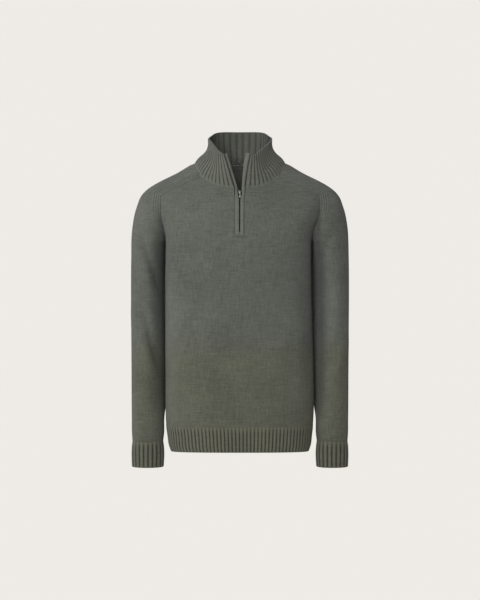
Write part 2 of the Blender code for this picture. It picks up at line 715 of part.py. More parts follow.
def dipped(sections, share):
    """The hem's sections, whose lower edge dips a little towards the sides."""
    depth = np.abs(sections[..., 1])
    dip = share[:, None] * (1 - depth / depth.max(axis=1, keepdims=True))
    lower = sections.copy()
    lower[..., 2] -= HEM_SIDE_DROP * dip
    return lower


def hem(finish):
    share = np.array(BAND_LEVELS)
    levels = HEM_TOP - SEAM_GAP / 2 + share * (HEM_BOTTOM - HEM_TOP)
    sections = np.array([even_ring(torso_ring(z), 2 * HEM_RIBS) for z in levels])
    ribbed_band("hem", dipped(sections, share), HEM_RAISE, finish)


def cuffs(finish):
    levels = CUFF_TOP - SEAM_GAP / 2 + np.array(BAND_LEVELS) * (CUFF_BOTTOM - CUFF_TOP)
    for name, side in (("cuff_right", RIGHT), ("cuff_left", LEFT)):
        sections = np.array([even_ring(ring(CUFF, side, z), 2 * CUFF_RIBS) for z in levels])
        ribbed_band(name, sections, CUFF_RAISE, finish)


def neckline(side):
    """Half the neckline, from the zip along the front, over the saddle's end, to the back."""
    front, back = panel_half(FRONT, side), panel_half(BACK, side)
    over = sleeve_face(side)[-1]
    middle = (back[-1, :1] + panel_half(BACK, -side)[-1, :1]) / 2
    front_run = front[-1, : NECK_COLUMNS + 1]
    back_run = back[-1, NECK_COLUMNS::-1]
    crown = len(over) // 2
    to_side = np.concatenate([front_run, over[1 : crown + 1]])
    to_back = np.concatenate([over[crown:-1], back_run, middle])
    return to_side, to_back


def collar_half(side):
    """Base, rim and columns of half the collar, from its front edge to the middle of the back."""
    to_side, to_back = neckline(side)
    front_shares = np.linspace(0, 1, 2 * FRONT_RIBS + 1)
    back_shares = np.linspace(0, 1, 2 * BACK_RIBS + 1)
    base = np.concatenate([along(to_side, front_shares), along(to_back, back_shares)[1:]])
    table = RIM_RIGHT if side == RIGHT else RIM_LEFT
    share = np.concatenate([front_shares / 2, 0.5 + back_shares[1:] / 2])
    rim_x = side * smooth(table, 1, share)
    return base, np.stack([rim_x, smooth(table, 2, share), smooth(table, 3, share)], axis=-1)


def collar_face():
    """Rows from the neckline to the rim, columns from the right front edge round to the left."""
    halves = []
    for side in (RIGHT, LEFT):
        base, rim = collar_half(side)
        count = len(base)
        up = np.array(COLLAR_LEVELS)[:, None]
        flared = 1 - smooth(COLLAR_RISE, 1, up)
        straight = up ** FRONT_EDGE_BOW[side]
        from_edge = ease(np.arange(count) / FRONT_RIBS)[None, :]
        inward = straight + (flared - straight) * from_edge
        grid = base + (rim - base) * np.stack([inward, inward, np.broadcast_to(up, inward.shape)], axis=-1)
        halves.append(grid)
    return np.concatenate([halves[0], halves[1][:, -2::-1]], axis=1)


def collar(finish):
    plain = collar_face()
    outward = normals(plain)
    outward *= np.sign(outward[3, 0] @ np.array([0, -1, 0]))
    crest = (np.arange(plain.shape[1]) % 2)[None, :]
    height = COLLAR_RAISE * ease(np.array(COLLAR_LEVELS) / COLLAR_LEVELS[1])[:, None]
    outside = plain + (height * crest)[..., None] * outward
    inside = plain - RIB_KNIT * outward
    sides = ("start", "end")
    grids = []
    for grid in (outside, inside):
        drawn = drawn_in(grid, sides)
        drawn[0] += SEAM_GAP * unit(plain[1] - plain[0])
        grids.append(drawn)
    wall("collar", *grids, finish)


def opening_edge(side, z):
    """The edge of the slot at a height, and above the neckline that of the collar."""
    grid = collar_face()
    edge = grid[:, 0] if side == RIGHT else grid[:, -1]
    if z <= edge[0, 2]:
        x = side * slot_edge(side, np.array(z))
        return np.array([x, torso_y(FRONT, x, np.array(z)), z])
    run = (edge[-1] - edge[-2]) / (edge[-1, 2] - edge[-2, 2])
    if z > edge[-1, 2]:
        return edge[-1] + run * (z - edge[-1, 2])
    return np.array([np.interp(z, edge[:, 2], edge[:, axis]) for axis in (0, 1)] + [z])


def strip_rows(side, table):
    """Outer and inner edges and the outward direction of a strip beside the zip."""
    outer = np.array([opening_edge(side, z) for z, _, _ in table])
    inner = np.array([(x, edge[1] + back, z) for (z, x, back), edge in zip(table, outer)])
    gap = WELT_GAP + WELT_TURN_GAP * np.array(table)[:, 2:3]
    outer = outer + gap * unit(inner - outer)
    run = np.gradient((outer + inner) / 2, axis=0)
    outward = unit(np.cross(run, inner - outer))
    return outer, inner, outward * np.sign(-outward[:, 1:2])


def welts(finish):
    for name, side, table in (("welt_right", RIGHT, WELT_RIGHT), ("welt_left", LEFT, WELT_LEFT)):
        outer, inner, outward = strip_rows(side, table)
        turn = np.arange(WELT_SIDES) * 2 * np.pi / WELT_SIDES
        wide = (1 - np.sign(np.cos(turn)) * np.abs(np.cos(turn)) ** WELT_ROUND) / 2
        deep = np.sign(np.sin(turn)) * np.abs(np.sin(turn)) ** WELT_ROUND * WELT_THICK / 2
        deep += WELT_PROUD - WELT_THICK / 2
        rings = outer[:, None] + (inner - outer)[:, None] * wide[None, :, None]
        rod(name, rings + outward[:, None] * deep[None, :, None], finish)


def tapes(finish):
    for name, side, table in (("tape_right", RIGHT, WELT_RIGHT), ("tape_left", LEFT, WELT_LEFT)):
        table = [row for row in table if row[0] <= table[-2][0]]
        outer, inner, outward = strip_rows(side, table)
        across = unit(inner - outer)
        shut = inner[:, 2] < SLIT_BOTTOM
        inner = inner + across * np.where(shut, 0.0, TAPE_SHOWS)[:, None]
        outer = outer + across * TAPE_INSET
        corners = ((0, 0), (1, 0), (1, 1), (0, 1))
        rings = [
            outer + (inner - outer) * wide - outward * (TAPE_DEEP + TAPE_THICK * deep)
            for wide, deep in corners
        ]
        rod(name, np.stack(rings, axis=1), finish)


def zip_bar(finish):
    x = np.linspace(BAR_RIGHT, BAR_LEFT, 7)
    z = np.linspace(BAR_TOP, BAR_BOTTOM, 3)[:, None]
    x, z = np.broadcast_arrays(x, z)
    points = np.stack([x, torso_y(FRONT, x, z), z], axis=-1)
    outward = normals(points)
    outward *= np.sign(-outward[1, 3, 1])
    wall("zip_bar", points + (SEAM_GAP + BAR_THICK) * outward, points + SEAM_GAP * outward, finish)


def chest_lean():
    """How far the chest leans from upright at the slider, and a point on it."""
    z = np.array([SLIDER_HEIGHT - LEAN_STEP, SLIDER_HEIGHT + LEAN_STEP])
    y = torso_y(FRONT, np.zeros(2), z)
    return np.arctan2(y[1] - y[0], z[1] - z[0]), np.array([0, y.mean(), SLIDER_HEIGHT])


def block(size, middle, taper=1.0, bevel=0.0):
    """A box in a bmesh, its foot narrowed, its upright edges rounded."""
    mesh = bmesh.new()
    bmesh.ops.create_cube(mesh, size=1)
    bmesh.ops.scale(mesh, vec=size, verts=mesh.verts)
    for point in mesh.verts:
        if point.co.z < 0:
            point.co.x *= taper
    if bevel:
        upright = [e for e in mesh.edges if abs(e.verts[0].co.y - e.verts[1].co.y) > size[1] / 2]
        bmesh.ops.bevel(mesh, geom=upright, offset=bevel, segments=3, profile=0.5, affect="EDGES")
    bmesh.ops.translate(mesh, vec=middle, verts=mesh.verts)
    return mesh


def joined(name, mesh, others, operation, finish):
    """The mesh with helper meshes added or cut, as one object."""
    made = place_object(name, mesh, finish)
    for number, other in enumerate(others):
        helper = place_object(f"{name}_helper_{number}", other, finish)
        helper.hide_render = True
        helper.display_type = "WIRE"
        helper.parent = made
        change = made.modifiers.new(f"{operation.lower()}_{number}", "BOOLEAN")
        change.operation = operation
        change.solver = "EXACT"
        change.object = helper
    return made


def slider_and_tab(metal):
    lean, point = chest_lean()
    _, deep, _ = SLIDER_SIZE
    face = -deep / 2
    slider = block(SLIDER_SIZE, (0, 0, 0), SLIDER_TAPER, SLIDER_BEVEL)
    width, proud, tall = BRIDGE_SIZE
    bridge_y = face - (proud - BRIDGE_OVERLAP) / 2
    leg = (width, proud + BRIDGE_OVERLAP, BRIDGE_BAR)
    helpers = [block(leg, (0, bridge_y, (tall - BRIDGE_BAR) / 2))]
    helpers.append(block(leg, (0, bridge_y, -(tall - BRIDGE_BAR) / 2)))
    helpers.append(block((width, BRIDGE_BAR, tall), (0, face - proud + BRIDGE_BAR / 2, 0)))
    body = joined("slider", slider, helpers, "UNION", metal)
    body.rotation_euler.x = -lean
    normal = np.array([0, -np.cos(lean), np.sin(lean)])
    body.location = point + normal * (ZIP_PROUD - deep / 2)

    pin_y = face - PIN_CLEAR - PIN / 2
    axis = empty("pull_tab_axis")
    axis.parent = body
    axis.location = (0, pin_y, 0)
    tab_wide, tab_thick, tab_tall = TAB_SIZE
    tab = block(TAB_SIZE, (0, 0, PIN / 2 - tab_tall / 2), TAB_FOOT, TAB_BEVEL)
    window_wide, window_tall = TAB_WINDOW
    window = (window_wide, 4 * tab_thick, window_tall)
    cutter = block(window, (0, 0, -PIN / 2 - window_tall / 2))
    made = joined("pull_tab", tab, [cutter], "DIFFERENCE", metal)
    made.parent = axis


def empty(name):
    made = bpy.data.objects.new(name, None)
    bpy.context.scene.collection.objects.link(made)
    return made


def hanger_loop(finish):
    base, _ = collar_half(RIGHT)
    depth = base[-1, 1] - RIB_KNIT - LOOP_CLEAR - LOOP_SIZE[1]
    loop = block(LOOP_SIZE, (0, 0, 0), bevel=LOOP_BEVEL)
    cutter = block((LOOP_HOLE[0], 4 * LOOP_SIZE[1], LOOP_HOLE[1]), (0, 0, 0))
    made = joined("hanger_loop", loop, [cutter], "DIFFERENCE", finish)
    made.location = (LOOP_MIDDLE, depth, LOOP_HEIGHT)


def main():
    for old in list(bpy.data.objects):
        bpy.data.objects.remove(old)
    knit = material("knit", KNIT_COLOUR, 0.95)
    rib = material("rib_knit", RIB_COLOUR, 0.95)
    tape = material("zip_tape", TAPE_COLOUR, 0.85)
    metal = material("dark_metal", METAL_COLOUR, 0.35, 1.0)
    body_panels(knit)
    sleeves(knit)
    cuffs(rib)
    hem(rib)
    collar(rib)
    welts(rib)
    tapes(tape)
    zip_bar(rib)
    slider_and_tab(metal)
    hanger_loop(rib)


main()
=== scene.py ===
"""The knitted pullover with a short zip: finer cloth, ribs, sewing, zip teeth and finishes.

Metres, +Z up, front facing -Y. Every cloth piece is a wall between two grids of points, worked out
from the tables of sizes below, as fine as the folds and ribs need.
"""

import bmesh
import bpy
import numpy as np
from mathutils import Matrix, Vector


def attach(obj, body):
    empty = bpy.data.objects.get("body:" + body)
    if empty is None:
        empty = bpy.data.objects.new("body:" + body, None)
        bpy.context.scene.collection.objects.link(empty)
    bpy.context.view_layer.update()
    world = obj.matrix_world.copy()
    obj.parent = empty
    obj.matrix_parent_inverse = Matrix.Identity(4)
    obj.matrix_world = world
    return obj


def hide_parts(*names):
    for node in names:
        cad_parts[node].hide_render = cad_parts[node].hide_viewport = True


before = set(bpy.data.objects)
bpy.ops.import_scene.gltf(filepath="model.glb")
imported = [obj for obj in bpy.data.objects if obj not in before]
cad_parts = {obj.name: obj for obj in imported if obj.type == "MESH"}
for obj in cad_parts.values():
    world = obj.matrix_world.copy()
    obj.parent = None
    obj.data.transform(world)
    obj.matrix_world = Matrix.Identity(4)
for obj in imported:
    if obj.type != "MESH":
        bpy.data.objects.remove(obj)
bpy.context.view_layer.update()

# Cloth and seams
KNIT = 0.0022
RIB_KNIT = 0.0026
SEAM_GAP = 0.0001
MERGE = 0.00001
SHARP_EDGE = 0.9
# How far a cubic curve's pulls reach for each unit that its middle stands out
BOW = 4 / 3
RIGHT, LEFT = -1, 1
FRONT, BACK = -1, 1

# Levels
HEM_TOP = -0.628
HEM_BOTTOM = -0.6885
UNDERARM = -0.188
CUFF_TOP = -0.6678
CUFF_BOTTOM = -0.7308
NECK_FRONT = -0.0638

# The torso's section at each height: a rounded oblong
HALF_RIGHT, HALF_LEFT, DEPTH_FRONT, DEPTH_BACK, FULLNESS = range(1, 6)
TORSO = (
    # height, half width right, half width left, depth in front, depth behind, fullness
    (-0.6885, 0.1660, 0.1650, 0.094, 0.094, 2.8),
    (-0.676, 0.1707, 0.1698, 0.097, 0.096, 2.7),
    (-0.650, 0.1750, 0.1735, 0.099, 0.098, 2.6),
    (-0.628, 0.1788, 0.1768, 0.101, 0.099, 2.6),
    (-0.600, 0.1802, 0.1786, 0.103, 0.098, 2.6),
    (-0.500, 0.1808, 0.1785, 0.106, 0.094, 2.7),
    (-0.400, 0.1812, 0.1755, 0.111, 0.095, 2.8),
    (-0.300, 0.1812, 0.1730, 0.118, 0.103, 2.9),
    (-0.215, 0.1800, 0.1725, 0.122, 0.113, 3.1),
    (-0.188, 0.1797, 0.1728, 0.122, 0.115, 3.2),
    (-0.172, 0.1818, 0.1757, 0.121, 0.116, 3.2),
    (-0.155, 0.1870, 0.1822, 0.120, 0.116, 3.2),
    (-0.135, 0.1955, 0.1945, 0.118, 0.116, 3.1),
    (-0.110, 0.2080, 0.2080, 0.115, 0.114, 3.0),
    (-0.078, 0.2250, 0.2250, 0.110, 0.110, 2.8),
    (-0.040, 0.2400, 0.2400, 0.105, 0.103, 2.6),
    (0.060, 0.2450, 0.2450, 0.098, 0.092, 2.6),
)

# The shoulders' crest, where front and back meet, and how far below it each is full
RIDGE = (
    # distance from the middle, height
    (0.0, 0.040),
    (0.060, 0.024),
    (0.1106, 0.000),
    (0.1387, -0.0122),
    (0.1860, -0.0365),
    (0.2145, -0.0520),
    (0.2319, -0.0656),
    (0.2600, -0.0900),
)
SHOULDER_FALL = (
    # distance from the middle, in front, behind
    (0.0, 0.200, 0.160),
    (0.095, 0.200, 0.160),
    (0.190, 0.155, 0.130),
    (0.260, 0.150, 0.125),
)

# Seams, seen from in front or behind
SHOULDER_END = {FRONT: -0.0783, BACK: -0.0600}
NECK_CORNER = {FRONT: 0.0941, BACK: 0.0850}
ARMHOLE_COLUMN = {(FRONT, RIGHT): 1, (FRONT, LEFT): 2, (BACK, RIGHT): 3, (BACK, LEFT): 4}
ARMHOLE = (
    # height, front right, front left, back right, back left
    (-0.188, 0.1797, 0.1728, 0.1797, 0.1728),
    (-0.172, 0.1806, 0.1739, 0.1807, 0.1742),
    (-0.155, 0.1831, 0.1782, 0.1830, 0.1784),
    (-0.135, 0.1872, 0.1862, 0.1862, 0.1850),
    (-0.110, 0.1890, 0.1904, 0.1876, 0.1878),
    (-0.078, 0.1892, 0.1900, 0.1888, 0.1895),
    (-0.060, 0.1892, 0.1900, 0.1890, 0.1900),
)
NECKLINE_FRONT = (
    # distance from the middle, height
    (0.0, -0.0640),
    (0.030, -0.0622),
    (0.0482, -0.0586),
    (0.066, -0.0520),
    (0.0803, -0.0440),
    (0.0941, -0.0335),
)
NECKLINE_BACK = (
    (0.0, 0.0050),
    (0.030, 0.0040),
    (0.060, 0.0000),
    (0.0850, -0.0080),
)

# The zip's slot in the front, and the widening of its left edge at the neck
SLOT_RIGHT = 0.0136
SLOT_LEFT = 0.0101
SLOT_FLARE = 0.0030
SLOT_FLARE_FROM = -0.090
SLOT_BOTTOM = -0.1757

# Columns and rows of the panels' grids
NECK_COLUMNS = 36
SADDLE_COLUMNS = 36
SIDE_ROWS = 76
ARMHOLE_ROWS = 60
ARMHOLE_SPREAD = 1.35
ROW_SPREAD = 1.15

# Sleeves: the outline from the neck to the underarm, then sections down to the cuff
CREST = (
    # distance from the middle, height
    (0.1106, 0.0032),
    (0.1190, 0.0000),
    (0.1352, -0.0095),
    (0.1515, -0.0192),
    (0.1710, -0.0290),
    (0.1910, -0.0388),
    (0.2095, -0.0490),
    (0.2255, -0.0602),
    (0.2360, -0.0705),
    (0.2424, -0.0800),
    (0.2490, -0.0975),
    (0.2545, -0.1150),
    (0.2592, -0.1380),
    (0.2620, -0.1600),
    (0.2634, -0.1880),
)
SHOULDER_SHARE = 0.52
INNER_RIGHT, INNER_LEFT, INNER_DEPTH, LEAN_RIGHT, LEAN_LEFT = range(1, 6)
SKEW, OUTER, MIDDLE, HALF_DEPTH = range(6, 10)
SLEEVE = (
    # height, inner side right, left, its depth, lean right, left, pull at the inner side,
    # outer side, middle, half depth
    (-0.6678, 0.1858, 0.1858, -0.0120, 0.000, 0.000, 0.50, 0.2603, -0.0120, 0.0340),
    (-0.650, 0.1836, 0.1836, -0.0120, 0.000, 0.000, 0.50, 0.2614, -0.0120, 0.0375),
    (-0.612, 0.1832, 0.1832, -0.0080, 0.000, 0.000, 0.54, 0.2619, -0.0112, 0.0402),
    (-0.585, 0.1812, 0.1806, 0.0200, 0.004, 0.008, 0.64, 0.2622, -0.0107, 0.0418),
    (-0.500, 0.1796, 0.1772, 0.0300, 0.008, 0.022, 0.73, 0.2628, -0.0085, 0.0465),
    (-0.400, 0.1794, 0.1752, 0.0340, 0.010, 0.032, 0.75, 0.2636, -0.0060, 0.0520),
    (-0.300, 0.1804, 0.1742, 0.0340, 0.009, 0.034, 0.75, 0.2644, -0.0035, 0.0590),
    (-0.240, 0.1812, 0.1740, 0.0270, 0.006, 0.024, 0.72, 0.2642, -0.0015, 0.0640),
    (-0.215, 0.1810, 0.1738, 0.0220, 0.004, 0.012, 0.68, 0.2638, -0.0005, 0.0655),
    (-0.200, 0.1806, 0.1736, 0.0160, 0.002, 0.005, 0.64, 0.2636, 0.0000, 0.0660),
    (-0.188, 0.1802, 0.1733, 0.0000, 0.000, 0.000, 0.60, 0.2634, 0.0000, 0.0660),
)
SLEEVE_RING_ROWS = 96
# How the rows above the underarm leave the seams, pass half way, and go over the crest
OUTWARD, HALF_WAY, UPWARD, CROWN = 1, 2, 3, 4
SLEEVE_ROWS = (
    # share of the way (1 at the shoulder's end, 2 at the neck), outward, half-way depth, up, crown
    (0.00, 0.000, 0.0660, 0.000, 0.088),
    (0.25, 0.008, 0.0655, 0.002, 0.078),
    (0.50, 0.015, 0.0600, 0.005, 0.063),
    (0.75, 0.016, 0.0490, 0.009, 0.046),
    (1.00, 0.011, 0.0355, 0.013, 0.032),
    (1.50, 0.000, 0.0340, 0.016, 0.024),
    (2.00, 0.007, 0.0360, 0.011, 0.026),
)
# Raised lines beside the saddle and armhole seams
RIDGES = 4
RIDGE_SHARE = 0.030
RIDGE_PITCH = 0.0064
RIDGE_RAISE = 0.0015
PITCH_FADE = 0.5
RIDGE_START = 0.25
RIDGE_FADE = 0.9
RIDGE_STEPS = 4
CROWN_COLUMNS = 60
# The sleeve's normals turn into the panels' where they are this much alike, and further
TURN_FROM, TURN_OVER = 0.3, 0.5

# The soft folds: straight lines over a sleeve's front or back, each with a swell outside it
FOLD_FADE = 0.22
SWELL_PLACE = 1.8
FOLDS = (
    # side, face, distance and height of the start, of the end, half width, depth, swell
    (RIGHT, FRONT, 0.2400, -0.165, 0.1880, -0.300, 0.012, 0.0060, 0.0040),
    (RIGHT, FRONT, 0.2380, -0.340, 0.1900, -0.490, 0.013, 0.0075, 0.0045),
    (RIGHT, BACK, 0.2380, -0.215, 0.1880, -0.340, 0.013, 0.0060, 0.0030),
    (LEFT, FRONT, 0.2180, -0.175, 0.1860, -0.235, 0.010, 0.0035, 0.0015),
    (LEFT, FRONT, 0.2450, -0.400, 0.1950, -0.520, 0.014, 0.0040, 0.0020),
    (LEFT, BACK, 0.2380, -0.190, 0.1880, -0.310, 0.013, 0.0060, 0.0030),
)

# The body's soft swells and troughs: those in front as they show, like ones behind
BODY_FADE = 0.02
BODY_FOLDS = (
    # face, distance to the left and height of the start, of the end, half width, swell
    (FRONT, -0.1480, -0.240, -0.1460, -0.420, 0.020, 0.0028),
    (FRONT, -0.1560, -0.380, -0.1500, -0.590, 0.011, 0.0022),
    (FRONT, -0.1050, -0.270, -0.0900, -0.560, 0.022, -0.0016),
    (FRONT, 0.0350, -0.400, 0.0200, -0.590, 0.030, 0.0014),
    (FRONT, 0.1050, -0.230, 0.0950, -0.400, 0.026, -0.0016),
    (FRONT, 0.1450, -0.330, 0.1450, -0.560, 0.014, 0.0016),
    (FRONT, -0.0600, -0.598, 0.0900, -0.602, 0.012, 0.0010),
    (BACK, 0.1500, -0.250, 0.1400, -0.560, 0.018, 0.0026),
    (BACK, 0.0700, -0.220, 0.0500, -0.520, 0.026, -0.0020),
    (BACK, -0.0300, -0.300, -0.0450, -0.590, 0.028, 0.0018),
    (BACK, -0.1100, -0.240, -0.1000, -0.480, 0.022, -0.0020),
    (BACK, -0.1500, -0.300, -0.1500, -0.580, 0.014, 0.0022),
)

# Cuffs
CUFF = (
    # the same columns as the sleeve's
    (-0.7308, 0.1856, 0.1856, -0.0130, 0.0, 0.0, 0.5, 0.2602, -0.0130, 0.0300),
    (-0.700, 0.1842, 0.1842, -0.0125, 0.0, 0.0, 0.5, 0.2612, -0.0125, 0.0315),
    (-0.6678, 0.1862, 0.1862, -0.0120, 0.0, 0.0, 0.5, 0.2599, -0.0120, 0.0330),
)
CUFF_RIBS = 21
CUFF_RAISE = 0.0013
HEM_RIBS = 104
HEM_RAISE = 0.0015
HEM_SIDE_DROP = 0.006
RIB_START = 0.35
RIB_RISE = 0.25
RIB_STEPS = 8
RIB_ROUND = 0.6
BAND_ROWS, BAND_EVEN, BAND_END = 18, 0.96, (0.975, 0.985, 0.993, 1.0)

# Collar: the rim from each front edge to the middle of the back
RIM_RIGHT = (
    # share of the half rim, distance from the middle, depth (front is negative), height
    (0.00, 0.0375, -0.0890, 0.0155),
    (0.07, 0.0465, -0.0820, 0.0222),
    (0.20, 0.0590, -0.0660, 0.0365),
    (0.33, 0.0700, -0.0430, 0.0525),
    (0.50, 0.0765, -0.0080, 0.0620),
    (0.68, 0.0715, 0.0280, 0.0735),
    (0.84, 0.0535, 0.0530, 0.0855),
    (1.00, 0.0000, 0.0680, 0.0880),
    (1.16, -0.0535, 0.0530, 0.0855),
)
RIM_LEFT = (
    (0.00, 0.0250, -0.0900, 0.0140),
    (0.07, 0.0335, -0.0860, 0.0150),
    (0.20, 0.0505, -0.0720, 0.0305),
    (0.33, 0.0645, -0.0510, 0.0425),
    (0.50, 0.0765, -0.0080, 0.0620),
    (0.68, 0.0715, 0.0280, 0.0735),
    (0.84, 0.0535, 0.0530, 0.0855),
    (1.00, 0.0000, 0.0680, 0.0880),
    (1.16, -0.0535, 0.0530, 0.0855),
)
COLLAR_RISE = (
    # share of the height, share of the way out from the rim to the neckline
    (0.00, 1.000),
    (0.11, 0.825),
    (0.20, 0.700),
    (0.28, 0.545),
    (0.36, 0.370),
    (0.44, 0.235),
    (0.53, 0.120),
    (0.70, 0.015),
    (1.00, 0.000),
)
FRONT_EDGE_BOW = {RIGHT: 1.0, LEFT: 1.5}
COLLAR_ROWS, COLLAR_EVEN, COLLAR_END = 44, 0.97, (0.98, 0.988, 0.994, 1.0)
FRONT_RIBS = 14
BACK_RIBS = 11
COLLAR_RAISE = 0.0014
COLLAR_RIB_START = 0.10
# Painted shade on the collar: in its rib grooves outside and in, over all its inside, and deepest
# on the inside at its sides, with the darkest it may paint
COLLAR_GROOVE_SHADE, LINING_GROOVE_SHADE = 0.75, 0.30
LINING_PAINTED_SHADE, SIDE_PAINTED_SHADE, SIDE_SHADE_PLACE, SIDE_SHADE_SPREAD = 0.32, 0.40, 0.64, 0.12
LINING_SHADE_DARKEST = 0.8

# Zip facings: rounded strips from the edges of slot and collar in to the zip
WELT_THICK = 0.0040
WELT_PROUD = 0.0012
WELT_SIDES = 20
WELT_ROWS = 90
WELT_GAP = 0.0004
WELT_TURN_GAP = 0.70
WELT_ROUND = 0.7
# Painted shade along each facing's outer edge, where it meets the front, fading out over the outer
# fifth of its width
WELT_EDGE_SHADE, WELT_CREASE = 0.5, 5
WELT_RIGHT = (
    # height, inner edge, how far the inner edge turns back
    (-0.1757, -0.00075, 0.000),
    (-0.1690, -0.00075, 0.000),
    (-0.1668, -0.0021, 0.000),
    (-0.1400, -0.0021, 0.000),
    (-0.1100, -0.0021, 0.000),
    (-0.0900, -0.0024, 0.000),
    (-0.0800, -0.0048, 0.001),
    (-0.0700, -0.0054, 0.002),
    (-0.0617, -0.0060, 0.003),
    (-0.0400, -0.0124, 0.003),
    (-0.0216, -0.0181, 0.003),
    (0.0000, -0.0246, 0.003),
    (0.0135, -0.0286, 0.003),
    (0.0180, -0.0298, 0.003),
)
WELT_LEFT = (
    (-0.1757, -0.00045, 0.000),
    (-0.1690, -0.00045, 0.000),
    (-0.1668, 0.0009, 0.000),
    (-0.1400, 0.0009, 0.000),
    (-0.1100, 0.0009, 0.000),
    (-0.0900, 0.0012, 0.000),
    (-0.0800, 0.0038, 0.000),
    (-0.0700, 0.0040, 0.001),
    (-0.0617, 0.0040, 0.002),
    (-0.0334, 0.0060, 0.002),
    (-0.0051, 0.0086, 0.002),
    (0.0080, 0.0110, 0.002),
    (0.0150, 0.0130, 0.002),
    (0.0190, 0.0138, 0.002),
)
TAPE_DEEP = 0.0034
TAPE_THICK = 0.0010
TAPE_SHOWS = 0.00135
TAPE_INSET = 0.0030
TAPE_SIDES = 16
TAPE_ROUND = 0.5
SLIT_BOTTOM = -0.168

# Bar under the zip
BAR_RIGHT, BAR_LEFT = -0.0180, 0.0150
BAR_TOP, BAR_BOTTOM = -0.1785, -0.1813
BAR_THICK = 0.0013
BAR_STITCHES, BAR_STEPS, BAR_ROWS = 15, 8, 13
BAR_BASE, STITCH_DIP, CORD_ROUND = 0.35, 0.45, 0.5

SLIDER_HEIGHT = -0.0740

# Zip teeth
TOOTH_PITCH = 0.0020
TOOTH_SIZE = (0.0021, 0.0021, 0.00082)
TOOTH_HEAD = (1, 0.72, 0.8)
TOOTH_BEVEL = 0.00022
TOOTH_OVER_EDGE = 0.00035
TEETH_BOTTOM = -0.1655
TEETH_TOP = 0.0125
SLIDER_REACH = 0.0054
METAL_ROUND = 0.00022
FLAT_ANGLE, EDGE_ANGLE = 0.02, 0.5

# Hanger loop: a cord sewn down at both ends
LOOP_MIDDLE = -0.0095
LOOP_HEIGHT = 0.0110
LOOP_WIDE, LOOP_TALL = 0.0195, 0.0062
LOOP_CORD = 0.0015
LOOP_CLEAR = 0.0018
LOOP_SQUARE = 0.35
LOOP_SIDES = 10
LOOP_STEPS = 96

# Every cut piece of cloth as it lies flat, tubes all round: its widest row and its longest column
SLEEVES = ("sleeve_right_knit", "sleeve_left_knit")
CLOTH = (
    # piece, width and length, area, how it is held, what it rests on, what is sewn to it
    ("front_knit", (0.530, 0.612), 0.266, "hung", SLEEVES, ("zip_bar_stitched",)),
    ("back_knit", (0.524, 0.650), 0.279, "hung", SLEEVES, ()),
    ("sleeve_right_knit", (0.346, 0.765), 0.183, "draped", (), ()),
    ("sleeve_left_knit", (0.356, 0.765), 0.183, "draped", (), ()),
    ("hem_rib", (0.929, 0.0605), 0.0546, "hung", ("front_knit", "back_knit"), ()),
    ("cuff_right_rib", (0.2226, 0.063), 0.0138, "hung", ("sleeve_right_knit",), ()),
    ("cuff_left_rib", (0.2226, 0.063), 0.0138, "hung", ("sleeve_left_knit",), ()),
    ("collar_rib", (0.630, 0.084), 0.0425, "draped", SLEEVES, ()),
    ("welt_right_rib", (0.0124, 0.202), 0.00184, "folded", ("front_knit",), ()),
    ("welt_left_rib", (0.0102, 0.200), 0.00176, "folded", ("front_knit",), ()),
    ("tape_right_woven", (0.0108, 0.197), 0.0015, "hung", ("front_knit",), ("teeth_right",)),
    ("tape_left_woven", (0.0100, 0.197), 0.0015, "hung", ("front_knit",), ("teeth_left",)),
)

# Camera: its distance and height, and the height of the picture at the seams between front and back
CAMERA_AWAY, CAMERA_HEIGHT, PICTURE_TALL = 3.2, -0.328, 1.458
SENSOR = 36

# Light: the paper's share of its own brightness, then the lamps
PAPER_COLOUR = (0.855, 0.831, 0.791, 1)
LAMP_AIM = (0, 0, -0.3)
PAPER_LIGHT = 0.52
LAMPS = (
    # name, place, size, power, colour
    ("key", (-3.0, -2.2, 2.0), 1.2, 95, (1.0, 0.99, 0.975)),
    ("front", (-0.7, -4.4, 0.9), 2.0, 150, (1.0, 0.995, 0.985)),
)

# Stitches, in metres on the flat cloth
WALE, COURSE = 0.0020, 0.0015
HEM_PITCH, CUFF_PITCH, COLLAR_PITCH = 0.0084, 0.0096, 0.0080
RIB_WALES = 4
STITCH_SLANT = 1.5
YARN_WIDE, YARN_TALL = 0.6, 0.5

# Finishes
KNIT_ROUGHNESS, KNIT_SPECULAR, SHEEN, SHEEN_ROUGHNESS = 0.92, 0.2, 0.12, 0.6
KNIT_MOTTLE, RIB_MOTTLE, TAPE_MOTTLE = 0.60, 0.40, 0.2
# Painted shade in the grooves between ribs, ridges and cords, for plain and rib knit, and the
# darkest it may paint; on plain knit also a painted highlight on the sleeves' ridge crests
KNIT_GROOVE_SHADE, RIB_GROOVE_SHADE, GROOVE_SHADE_DARKEST = 0.55, 1.15, 0.14
# Painted shade between the stitches: the yarn's colour darkens where it stands low
STITCH_SHADE, STITCH_TOP = 0.68, 0.8
STITCH_RELIEF, STITCH_BUMP, FUZZ = 0.0004, 0.8, 0.5
FLECKS, STREAKS, CLOUDS = 300, 70, 9
DOWN_COLUMNS, ALONG_ROWS = (5, 5, 0.6), (0.5, 0.5, 6)
TAPE_GREY = (0.020, 0.021, 0.018)
TAPE_ROUGHNESS, TAPE_SPECULAR = 0.8, 0.3
THREAD, THREAD_RELIEF, THREAD_DARK, THREAD_LIGHT = 0.0006, 0.0001, 0.7, 1.3
METAL_ROUGHNESS, METAL_SMOOTH, METAL_BRUSHED = 0.34, 0.22, 0.46
BRUSHING, BRUSHING_DETAIL, BRUSHED_ALONG, BRUSHING_RELIEF = 900, 3.0, (1, 1, 0.08), 0.00004
RUBBING, UNRUBBED, RUBBED = 420, 0.75, 1.35
GREY_GREEN = (0.0915, 0.0985, 0.0850)
RIB_GREEN = (0.116, 0.124, 0.103)
TONE_CHANGE = -0.437
TONE_SPREAD = 0.030
